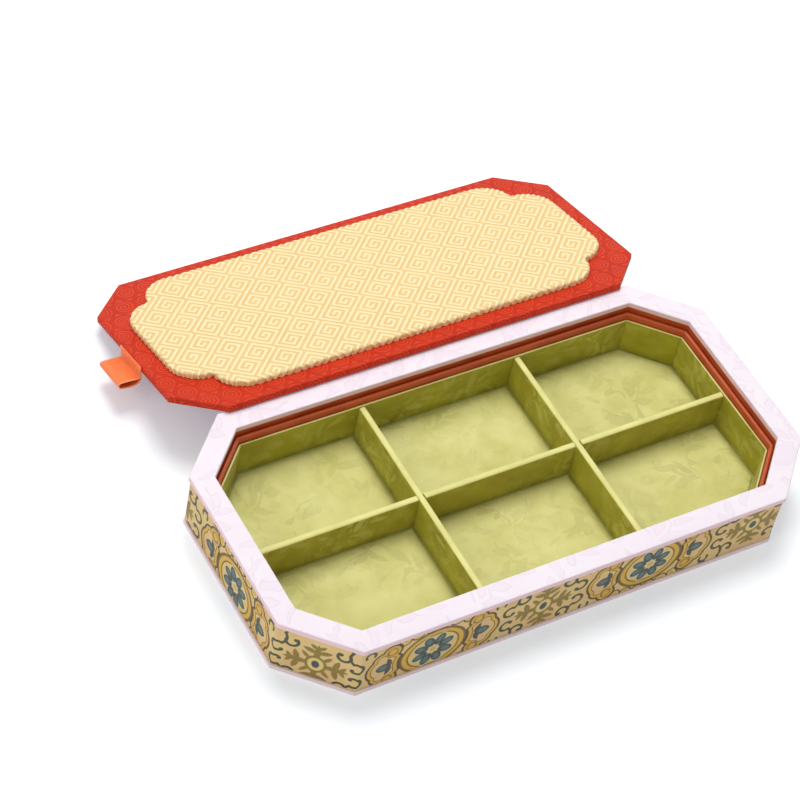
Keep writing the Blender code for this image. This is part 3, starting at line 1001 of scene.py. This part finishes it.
def even_lines(half, cell):
    count = max(2, round(2 * half / cell))
    return [-half + 2 * half * step / count for step in range(count + 1)]


def compartment(column, row):
    """Floor outline of one compartment: column is -1, 0 or 1 and row is -1 or 1."""
    room = octagon(INSERT_INNER + PAD_GAP)
    right, chamfer_y = room[3]
    chamfer_x, rear = room[4]
    wall = DIVIDER_BOARD / 2 + PAD_GAP
    if column == 0:
        edge = CROSS_X - wall
        return [(-edge, row * wall), (edge, row * wall), (edge, row * rear), (-edge, row * rear)]
    near = CROSS_X + wall
    outline = [(near, wall), (right, wall), (right, chamfer_y), (chamfer_x, rear), (near, rear)]
    return [(column * x, row * y) for x, y in outline]


def edge_distance(points, outline):
    """Distance of each point from the nearest side of a polygon."""
    spots = np.array(points)
    gaps = []
    for start, end in pairs(outline):
        a, along = np.array(start), np.subtract(end, start)
        share = np.clip(((spots - a) @ along) / (along @ along), 0, 1)
        gaps.append(np.linalg.norm(spots - a - share[:, None] * along, axis=1))
    return np.min(gaps, axis=0)


def pressed_out(pad, held):
    """Points of the pad after its wadding has pressed the cloth out, by cloth simulation.

    The cloth is simulated at a larger scale, at which the solver's own settings suit it.
    """
    mesh = pad.data.copy()
    mesh.transform(Matrix.Scale(CLOTH_SCALE, 4))
    model = new_object("pad_simulation", mesh)
    model.vertex_groups.new(name="glued").add(held, 1.0, "REPLACE")
    cloth = model.modifiers.new("cloth", "CLOTH")
    cloth.settings.vertex_group_mass = "glued"
    cloth.settings.use_pressure = True
    cloth.settings.uniform_pressure_force = WADDING_PRESSURE
    cloth.settings.shrink_min = cloth.settings.shrink_max = CLOTH_SHRINK
    cloth.settings.bending_stiffness = 0.6
    cloth.settings.effector_weights.gravity = 0
    cloth.point_cache.frame_start = 1
    cloth.point_cache.frame_end = CLOTH_STEPS
    for step in range(1, CLOTH_STEPS + 1):
        bpy.context.scene.frame_set(step)
    shaped = model.evaluated_get(bpy.context.evaluated_depsgraph_get()).to_mesh()
    points = [vertex.co / CLOTH_SCALE for vertex in shaped.vertices]
    bpy.context.scene.frame_set(1)
    bpy.data.objects.remove(model)
    bpy.data.meshes.remove(mesh)
    return points


def swell_pad(pad, outline, seed):
    """Swells a pad to its full height, and dents and creases it near its corners."""
    still = [vertex.co.copy() for vertex in pad.data.vertices]
    held = [k for k, point in enumerate(still) if point.z < INSERT_LOW + PAD_FOLD / 2]
    moved = pressed_out(pad, held)
    crown = max(point.z for point in moved) - INSERT_LOW
    room = PAD_TOP - INSERT_LOW
    for vertex, start, point in zip(pad.data.vertices, still, moved):
        shift = (point - start).to_2d()
        if shift.length > PAD_SIDE:
            shift *= PAD_SIDE / shift.length
        rise = point.z - INSERT_LOW
        filled = PAD_FILL * (1 - exp(-rise / (PAD_FILL_RISE * room)))
        nearby = min((start.to_2d() - Vector(corner)).length for corner in outline)
        sunk = exp(-(nearby / CORNER_DENT) ** 2)
        spot = start.to_2d() * DENT_CREASES
        crease = noise.noise(Vector((spot.x + seed, spot.y, seed)))
        height = room * (filled + PAD_CROWN * rise / crown)
        height *= 1 - sunk * (DENT_DEPTH + DENT_CREASE * crease)
        vertex.co = (*(start.to_2d() + shift), INSERT_LOW + height)


for row, row_name in ((-1, "front"), (1, "back")):
    for column, column_name in ((-1, "left"), (0, "middle"), (1, "right")):
        outline = compartment(column, row)
        middle = [(min(way) + max(way)) / 2 for way in zip(*outline)]
        local = [(x - middle[0], y - middle[1]) for x, y in outline]
        half_x, half_y = [max(way) for way in zip(*local)]
        draw_in = 1 - PAD_SIDE / max(half_x, half_y)
        points, faces = cut_sheet(
            local, even_lines(half_x, PAD_CELL), even_lines(half_y, PAD_CELL)
        )
        solid, cloth = new_shell()
        seed = 7 * row + 3 * column
        top = []
        for (x, y), inset in zip(points, edge_distance(points, local)):
            share = min(1.0, inset / PAD_EDGE)
            swell = PAD_SWELL * sqrt(1 - (1 - share) ** 2)
            crease = PAD_CREASE * noise.noise(Vector((x * CREASE_X + seed, y * CREASE_Y, seed)))
            height = INSERT_LOW + PAD_FOLD + swell + crease * share
            top.append(solid.verts.new((x * draw_in, y * draw_in, height)))
        for face in faces:
            solid.faces.new([top[k] for k in face])
        rim = [edge for edge in solid.edges if len(edge.link_faces) == 1]
        drawn = bmesh.ops.extrude_edge_only(solid, edges=rim)
        for vertex in new_parts(drawn):
            vertex.co.z = INSERT_LOW
        lower = [edge for edge in new_parts(drawn, bmesh.types.BMEdge)
                 if len(edge.link_faces) == 1]
        bmesh.ops.edgenet_fill(solid, edges=lower)
        for face in solid.faces:
            for loop in face.loops:
                x, y, _ = loop.vert.co
                loop[cloth].uv = (x + PAD_CUT_X * seed, y + PAD_CUT_Y * seed)
        pad = finish_mesh(f"pad_cloth_{row_name}_{column_name}", solid, floor_green)
        swell_pad(pad, local, seed)
        pad.data.transform(Matrix.Translation((*middle, 0)))
        smooth = pad.modifiers.new("smooth", "SUBSURF")
        smooth.levels = smooth.render_levels = 1
        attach(pad, "case")
        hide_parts(f"floor_pad_{row_name}_{column_name}")

# ---------------------------------------------------------------------------------------------
# Lid plate. A card with a sheet of red paper glued under it, covered in red damask that turns
# down over its edge. The cloth has a tone-on-tone pattern of round scrolls.

LID_EDGE = 0.0114
LID_LOW = -0.0015
LID_TOP = 0.0015
LID_SKIN = 0.0004
LID_ROUND = 0.0006
LID_CELL = 0.006
LEAN_OVERLAP = 0.0020
GLUE_GAP = 0.0003
SCROLL_SIZE = 0.0105
EDGE_TURNS = (25, 50, 75, 90)
MITRE_LIMIT = 0.4

# Where the lid lies, in the (y, z) plane as complex numbers, and the axis that it swings about
lid_width = WIDTH - 2 * LID_EDGE
lean = asin(HEIGHT / (lid_width - LEAN_OVERLAP))
lid_closed = complex(0, SEAT_TOP + GLUE_GAP + LID_TOP)
rim_contact = complex(WIDTH / 2, HEIGHT + GLUE_GAP)
lid_resting = rim_contact + complex(lid_width / 2 - LEAN_OVERLAP, LID_TOP) * cmath.exp(-1j * lean)
swing = pi + lean
swing_axis = (lid_closed - cmath.exp(1j * swing) * lid_resting) / (1 - cmath.exp(1j * swing))
lid_place = (Matrix.Translation((0, lid_resting.real, lid_resting.imag))
             @ Matrix.Rotation(-lean, 4, "X"))

scrolls, given, result = new_pattern(
    "Round scrolls", {"Place": "Vector", "Size": "Float"}, {"Scroll": "Float"}
)
x, y, _ = [way / given["Size"] for way in split(given["Place"])]
shifted_x = line(every_second(y), 0.5, x)
way = line(every_second(shifted_x), 2.0, -1.0)
x, y = reckon("FRACT", shifted_x) - 0.5, reckon("FRACT", y) - 0.5
radius = distance(joined(x, y), 0, 0)
wound = radius * 6.4 + reckon("ARCTAN2", y, x) * way / (2 * pi)
spiral = inside(0.24 - abs(reckon("FRACT", wound) - 0.5), 0.12)
held = inside(0.44 - radius, 0.03)
corner_leaf = inside(abs(x) + abs(y) - 0.82, 0.04)
feed(result["Scroll"], either(spiral * held, corner_leaf))

red_damask, shader, place, woven = new_cloth("red_damask_finish", threads=2600, specular=0.2)
scroll = use_pattern(scrolls, Place=place, Size=SCROLL_SIZE)["Scroll"]
colour = overlaid(
    tint(ramp(mottle(place, 60, detail=3), 2.2, -0.6), (192, 38, 6), (206, 48, 11)),
    (scroll, 0.7, (221, 66, 25)),
)
relief = raise_by(woven["Height"], 0.00004, Normal=raise_by(scroll, 0.00005))
dress(shader, colour, (scroll, -0.16, 0.56), relief)


def rim_in_order(solid):
    """Points round the open edge of a sheet, in order."""
    rim = [edge for edge in solid.edges if len(edge.link_faces) == 1]
    edge, order = rim[0], list(rim[0].verts)
    for _ in range(len(rim) - 2):
        edge = next(e for e in order[-1].link_edges if len(e.link_faces) == 1 and e != edge)
        order.append(edge.other_vert(order[-1]))
    return order


def nearest_on(outline, point):
    """The nearest point of a polygon's edge, and whether the given point is inside it."""
    best, best_gap, crossings = None, 1e9, 0
    for start, end in pairs(outline):
        a, b = Vector(start), Vector(end)
        along = b - a
        share = min(1.0, max(0.0, (point - a).dot(along) / along.length_squared))
        spot = a + share * along
        if (point - spot).length < best_gap:
            best, best_gap = spot, (point - spot).length
        if (a.y > point.y) != (b.y > point.y):
            crossings += point.x < a.x + (point.y - a.y) * (b.x - a.x) / (b.y - a.y)
    return best, crossings % 2 == 1


def cloth_over_plate(outline_at, lines, low, high, rounding, skin, turn=0.0, bands=()):
    """A cloth cover as a bmesh: top sheet, rounded edge, side, and the inner side of the skin."""
    spin, back = Matrix.Rotation(turn, 2), Matrix.Rotation(-turn, 2)
    flat_outline = [tuple(back @ Vector(corner)) for corner in outline_at(rounding)]
    points, faces = cut_sheet(flat_outline, *lines, bands)
    solid, cloth = new_shell()
    shown = solid.verts.layers.float.new("shown_side")
    developed = {}

    def add(spot, height, laid_flat, on_show=1.0):
        vertex = solid.verts.new((*spot, height))
        vertex[shown] = on_show
        developed[vertex] = laid_flat
        return vertex

    spots = [spin @ Vector(point) for point in points]
    top = [add(spot, high, spot) for spot in spots]
    for face in faces:
        solid.faces.new([top[k] for k in face])
    solid.normal_update()
    if sum(face.normal.z for face in solid.faces) < 0:
        bmesh.ops.reverse_faces(solid, faces=solid.faces)
    base = rim_in_order(solid)
    if sum(a.co.x * b.co.y - b.co.x * a.co.y for a, b in pairs(base)) < 0:
        base.reverse()
    flat = [vertex.co.to_2d() for vertex in base]
    outward = []
    for before, (here, after) in zip(flat[-1:] + flat, pairs(flat)):
        first = -(here - before).normalized().orthogonal()
        second = -(after - here).normalized().orthogonal()
        outward.append((first + second) / max(MITRE_LIMIT, 1 + first.dot(second)))
    rings = [base]
    turns = [radians(turn) for turn in EDGE_TURNS]
    profile = [(sin(a), high - rounding * (1 - cos(a)), a) for a in turns]
    profile.append((1.0, low, pi / 2 + (high - rounding - low) / rounding))
    for out, height, travel in profile:
        target = outline_at(rounding * (1 - out))
        ring = []
        for start, way in zip(flat, outward):
            spot = start + way * rounding * out
            nearest, held_inside = nearest_on(target, spot)
            ring.append(add(spot if held_inside else nearest, height,
                            start + way * rounding * travel))
        rings.append(ring)
    inner = [nearest_on(outline_at(skin), vertex.co.to_2d())[0] for vertex in rings[-1]]
    for height in (low, high - skin):
        rings.append([add(spot, height, spot, on_show=0.0) for spot in inner])
    for upper, lower in zip(rings, rings[1:]):
        for (a, b), (c, d) in zip(pairs(upper), pairs(lower)):
            solid.faces.new((a, c, d, b))
    solid.faces.new(rings[-1])
    for face in solid.faces:
        for loop in face.loops:
            loop[cloth].uv = developed[loop.vert]
    return solid


lid_lines = [even_lines(way / 2 - LID_EDGE, LID_CELL) for way in (LENGTH, WIDTH)]
lid_shell = cloth_over_plate(
    lambda inset: octagon(LID_EDGE + inset), lid_lines, LID_LOW, LID_TOP, LID_ROUND, LID_SKIN
)
lid_cloth = finish_mesh("lid_cloth", lid_shell, red_damask, lid_place)
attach(lid_cloth, "lid")
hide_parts("lid_cover")
paint("lid_lining", paper("lid_lining_finish", (196, 64, 40), (160, 44, 26)))

# ---------------------------------------------------------------------------------------------
# Cartouche of the lid. A raised card with two round lobes at each corner, under pale gold
# brocade. The brocade's key fret stands up from its ground, at 45 degrees to the sides.

CARTOUCHE_LOW = 0.0018
CARTOUCHE_TOP = 0.0044
CARTOUCHE_SKIN = 0.0005
CARTOUCHE_ROUND = 0.0009
CARTOUCHE_HALF_X = 0.1094
CARTOUCHE_HALF_Y = 0.0463
CARTOUCHE_LOBE = 0.0145
LOBE_STEPS = 14
FRET_TURN = radians(45)
FRET_PITCH = 0.00250
FRET_LINE = 0.00110
FRET_SLOPE = 0.00024
FRET_HEIGHT = 0.00030


def quarter(x, y, radius):
    """Points round a quarter of a circle, from its right end to its rear end."""
    turns = [pi / 2 * step / LOBE_STEPS for step in range(LOBE_STEPS + 1)]
    return [(x + radius * cos(turn), y + radius * sin(turn)) for turn in turns]


def cartouche(inset):
    """Panel outline with two round lobes at each corner, meeting in a notch."""
    lobe_x, lobe_y = CARTOUCHE_HALF_X - CARTOUCHE_LOBE, CARTOUCHE_HALF_Y - CARTOUCHE_LOBE
    radius = CARTOUCHE_LOBE - inset
    notch_x, notch_y = lobe_x - inset, lobe_y - inset
    outer_lobe = quarter(lobe_x, lobe_y - CARTOUCHE_LOBE, radius)
    inner_lobe = quarter(lobe_x - CARTOUCHE_LOBE, lobe_y, radius)
    corner = [point for point in outer_lobe if point[0] > notch_x + TOUCHING]
    corner += [(notch_x, notch_y)]
    corner += [point for point in inner_lobe if point[1] > notch_y + TOUCHING]
    right_half = [(x, -y) for x, y in reversed(corner)]
    left_half = [(-x, y) for x, y in reversed(corner)] + [(-x, -y) for x, y in corner]
    return corner + left_half + right_half


def fret_lines(reach):
    """Cutting lines at both edges of every thread track and at the foot of its slopes."""
    half, last = FRET_LINE / 2, int(reach / FRET_PITCH) + 1
    return [
        track * FRET_PITCH + off
        for track in range(-last, last + 1)
        for off in (-half - FRET_SLOPE, -half, half, half + FRET_SLOPE)
    ]


fret, given, result = new_pattern(
    "Raised key fret",
    {
        "Geometry": "Geometry", "Pitch": "Float", "Line": "Float", "Slope": "Float",
        "Height": "Float", "Finish": "Material",
    },
    {"Geometry": "Geometry"},
    kind="Geometry",
)


def stored(name, kind):
    """A value that the mesh carries under this name."""
    return add_node(fret, "GeometryNodeInputNamedAttribute", {"Name": name}, data_type=kind)


def fret_track(along, tracks):
    """Number of the half track that a place lies on: threads lie on the even ones."""
    nearest = reckon("ROUND", along / given["Pitch"])
    off = along - nearest * given["Pitch"]
    edge = (given["Line"] + given["Slope"]) * 0.5
    side = reckon("SIGN", off) * reckon("GREATER_THAN", abs(off), edge)
    return reckon("FLOORED_MODULO", line(nearest, 2.0, side), 2.0 * tracks)


def thread(first_i, last_i, first_j, last_j):
    """1 on the thread that fills these half tracks."""
    held_i, held_j = [
        reckon("COMPARE", track, (first + last) / 2, (last - first) / 2 + 0.5)
        for track, first, last in ((i, first_i, last_i), (j, first_j, last_j))
    ]
    return held_i * held_j


cloth_x, cloth_y, _ = split(stored("cloth", "FLOAT_VECTOR"))
right = (cloth_x + cloth_y) * cos(FRET_TURN)
left = (cloth_y - cloth_x) * cos(FRET_TURN)
# Square keys of five tracks. Every second column is turned round, and its keys join on in pairs
i, j = fret_track(right, 10), fret_track(left, 5)
turned = reckon("GREATER_THAN", i, 9.5)
i = i + turned * (reckon("FLOORED_MODULO", 18.0 - i, 20.0) - i)
j = j + turned * (reckon("FLOORED_MODULO", -j, 10.0) - j)
threads = either(*[thread(*tracks) for tracks in (
    (0, 8, 0, 0), (19, 19, 0, 0), (8, 8, 0, 8), (0, 8, 8, 8), (0, 0, 2, 8),
    (0, 6, 2, 2), (6, 6, 2, 6), (2, 6, 6, 6), (2, 2, 4, 6), (2, 4, 4, 4),
)])
raised = threads * stored("shown_side", "FLOAT")
facing = add_node(fret, "GeometryNodeInputNormal", {})
geometry = given["Geometry"]
for kind, inputs in (
    ("StoreNamedAttribute", {"Name": "raised", "Value": raised}),
    ("SetPosition", {"Offset": enlarged(facing, raised * given["Height"])}),
    ("RealizeInstances", {}),
    ("SetMaterial", {"Material": given["Finish"]}),
):
    geometry = add_node(fret, "GeometryNode" + kind, {"Geometry": geometry, **inputs})
feed(result["Geometry"], geometry)

gold_brocade, shader, place, woven = new_cloth("gold_brocade_finish", threads=2200, sheen=0.08)
raised = add_node(
    gold_brocade.node_tree, "ShaderNodeAttribute", {}, gives="Fac", attribute_name="raised"
)
# Painted shade: the slopes at the foot of each raised fret thread are painted darker.
flank_shade = line(abs(line(raised, 2.0, -1.0)), -0.55, 0.55)
colour = overlaid(
    tint(ramp(mottle(place, 50, detail=3), 2.0, -0.5), (240, 202, 128), (246, 212, 144)),
    (raised, 1, (255, 240, 190)),
    (flank_shade, 1, (206, 154, 84)),
    (ramp(woven["Streaks"], 2.0, -0.8), 0.3, (222, 186, 118)),
)
dress(shader, colour, (raised, -0.15, 0.58), raise_by(woven["Height"], 0.00006))

reach = (CARTOUCHE_HALF_X + CARTOUCHE_HALF_Y) * cos(FRET_TURN)
notch = (CARTOUCHE_HALF_X - CARTOUCHE_HALF_Y) * cos(FRET_TURN)
cartouche_lines = sorted(fret_lines(reach) + [-notch, notch])
cartouche_shell = cloth_over_plate(
    cartouche, [cartouche_lines, cartouche_lines], CARTOUCHE_LOW, CARTOUCHE_TOP - FRET_HEIGHT,
    CARTOUCHE_ROUND, CARTOUCHE_SKIN, turn=FRET_TURN, bands=(-notch, notch),
)
cartouche_cloth = finish_mesh("cartouche_cloth", cartouche_shell, gold_brocade)
modifier = cartouche_cloth.modifiers.new("fret", "NODES")
modifier.node_group = fret
for name, value in (
    ("Pitch", FRET_PITCH), ("Line", FRET_LINE), ("Slope", FRET_SLOPE), ("Height", FRET_HEIGHT),
    ("Finish", gold_brocade),
):
    modifier[fret.interface.items_tree[name].identifier] = value
evaluated = cartouche_cloth.evaluated_get(bpy.context.evaluated_depsgraph_get())
cartouche_cloth.data = bpy.data.meshes.new_from_object(evaluated)
cartouche_cloth.modifiers.clear()
cartouche_cloth.data.transform(lid_place)
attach(cartouche_cloth, "lid")
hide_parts("cartouche_cover")

# ---------------------------------------------------------------------------------------------
# Ribbon. A length of orange satin folded in two and glued to the lid's left end, so that its
# loop lies over the rim when the lid is shut. It goes round with the lid, hanging under it.

RIBBON_THICK = 0.0003
RIBBON_WIDE = 0.0200
RIBBON_REACH = 0.0105
RIBBON_ARCH = 0.0014
RIBBON_LOOP = 0.0026
RIBBON_ACROSS = 16
RIBBON_RIB = 0.00045
RIBBON_BOW = 0.00035
RIBBON_WAVER = 0.00018
WAVER_ACROSS, WAVER_ALONG = 2.1, 160
RIBBON_SEED = 1.7
SELVEDGE = 0.0008
PATH_STEPS = 12

satin, shader = new_finish("orange_satin_finish", roughness=0.34, sheen=0.3)
place = cloth_place(satin.node_tree)
across, along, _ = split(place)
ribs = reckon("SINE", along * (2 * pi / RIBBON_RIB))
selvedge = reckon("GREATER_THAN", abs(across), RIBBON_WIDE / 2 - SELVEDGE)
# Painted sheen: long, lighter orange bands along the satin.
colour = overlaid(
    tint(ramp(mottle(stretched(place, 40, 260), 1.0), 2.2, -0.6), (246, 104, 34), (255, 134, 60)),
    (selvedge, 0.6, (255, 166, 110)),
)
feed(shader.inputs["Base Color"], colour)
feed(shader.inputs["Normal"], raise_by(line(ribs, 0.5, 0.5), 0.00004))

half = RIBBON_THICK / 2
rim = HEIGHT - lid_closed.imag
lying = rim + GLUE_GAP + half
bend = RIBBON_LOOP / 2
tip = bend - RIBBON_REACH
over_rim = interpolate_bezier(
    (-half, rim), (-half, rim + RIBBON_ARCH), (tip * 0.4, lying), (tip * 0.7, lying), PATH_STEPS
)
fold_turns = [-pi * (1 / 2 + step / PATH_STEPS) for step in range(PATH_STEPS + 1)]
fold = [Vector((tip + bend * cos(turn), lying + bend * (1 + sin(turn))))
        for turn in fold_turns]
back_over = interpolate_bezier(
    fold[-1],
    (tip * 0.5, lying + RIBBON_LOOP + RIBBON_ARCH / 2),
    (half, rim + RIBBON_LOOP + RIBBON_ARCH),
    (half, rim),
    PATH_STEPS,
)
stem_middle = (LID_LOW + rim) / 2
path = [
    Vector((-half, LID_LOW)), Vector((-half, stem_middle)),
    *[point.to_2d() for point in over_rim], *fold, *[point.to_2d() for point in back_over[1:]],
    Vector((half, stem_middle)), Vector((half, LID_LOW)),
]
path_length = sum((b - a).length for a, b in zip(path, path[1:]))
ribbon_x = -LENGTH / 2 + LID_EDGE - GLUE_GAP - RIBBON_THICK
solid, cloth = new_shell()
rows, travelled = [], 0.0
for before, point in zip(path[:1] + path, path):
    travelled += (point - before).length
    free = max(0.0, sin(pi * travelled / path_length)) ** 2
    row = []
    for step in range(RIBBON_ACROSS + 1):
        share = 2 * step / RIBBON_ACROSS - 1
        off = share * RIBBON_WIDE / 2
        spot = Vector((share * WAVER_ACROSS, travelled * WAVER_ALONG, RIBBON_SEED))
        waver = noise.noise(spot)
        bow = free * (RIBBON_BOW * (1 - share * share) + RIBBON_WAVER * waver)
        spot = (ribbon_x + point.x, off, lid_closed.imag + point.y + bow)
        row.append((solid.verts.new(spot), off, travelled))
    rows.append(row)
for low, high in zip(rows, rows[1:]):
    for step in range(RIBBON_ACROSS):
        corners = (low[step], low[step + 1], high[step + 1], high[step])
        face = solid.faces.new([corner[0] for corner in corners])
        for loop, corner in zip(face.loops, corners):
            loop[cloth].uv = corner[1:]
mesh = bpy.data.meshes.new("ribbon_satin")
solid.to_mesh(mesh)
solid.free()
axis = Matrix.Translation((0, swing_axis.real, swing_axis.imag))
mesh.transform(axis @ Matrix.Rotation(-swing, 4, "X") @ axis.inverted())
mesh.materials.append(satin)
mesh.shade_smooth()
ribbon = new_object("ribbon_satin", mesh)
thick = ribbon.modifiers.new("thickness", "SOLIDIFY")
thick.thickness = RIBBON_THICK * 0.9
thick.offset = 0.0
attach(ribbon, "ribbon_pull")
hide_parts("ribbon_pull")

# ---------------------------------------------------------------------------------------------
# Table top, light and camera. A plain white sweep under soft light from above and behind, which
# leaves a soft shadow on the near side, and the photograph's own high view from the left.

TABLE_HALF = 4
PHOTO_WIDTH = 800
FOCAL_PIXELS = 2690.38

white_floor, shader = new_finish("white_table", roughness=0.9, specular=0.1)
shader.inputs["Base Color"].default_value = (0.93, 0.93, 0.935, 1)
shader.inputs["Emission Color"].default_value = (0.71, 0.84, 1, 1)
tree = white_floor.node_tree
rays = by_name(tree.nodes.new("ShaderNodeLightPath").outputs)
far_off = ramp(distance(object_place(tree), 0, 0), 1.6, -0.45) + 0.28
feed(shader.inputs["Emission Strength"], rays["Is Camera Ray"] * far_off)
floor_mesh = bpy.data.meshes.new("table_top")
corners = [(x * TABLE_HALF, y * TABLE_HALF, 0) for x, y in ((-1, -1), (1, -1), (1, 1), (-1, 1))]
floor_mesh.from_pydata(corners, [], [(0, 1, 2, 3)])
floor_mesh.materials.append(white_floor)
floor = new_object("table_top", floor_mesh)

world = bpy.data.worlds.new("studio")
bpy.context.scene.world = world
world.use_nodes = True
sky = world.node_tree.nodes["Background"]
sky.inputs["Color"].default_value = (1, 1, 1, 1)
rays = by_name(world.node_tree.nodes.new("ShaderNodeLightPath").outputs)
seen = either(rays["Is Camera Ray"], either(rays["Is Glossy Ray"], rays["Is Transmission Ray"]))
feed(sky.inputs["Strength"], line(seen, 0.5, 0.5))


def soft_light(name, place, aim, size, power):
    lamp = bpy.data.lights.new(name, "AREA")
    lamp.shape = "DISK"
    lamp.size = size
    lamp.energy = power
    holder = new_object(name, lamp)
    holder.location = place
    holder.rotation_euler = (Vector(aim) - Vector(place)).to_track_quat("-Z", "Y").to_euler()


soft_light("overhead", (0.15, 0.55, 1.25), (0, 0.03, 0), 0.8, 11.0)
soft_light("left_fill", (-1.2, -0.1, 0.9), (0, 0, 0), 0.8, 3.3)

lens = bpy.data.cameras.new("camera")
lens.sensor_width = 36
lens.lens = FOCAL_PIXELS / PHOTO_WIDTH * lens.sensor_width
lens.clip_start = 0.05
lens.clip_end = 20
camera = new_object("camera", lens)
camera.location = (-0.50779, -0.55253, 0.90010)
camera.rotation_euler = [radians(turn) for turn in (40.6445, -8.7086, -28.8540)]
bpy.context.scene.camera = camera
bpy.context.scene.view_settings.view_transform = "Standard"
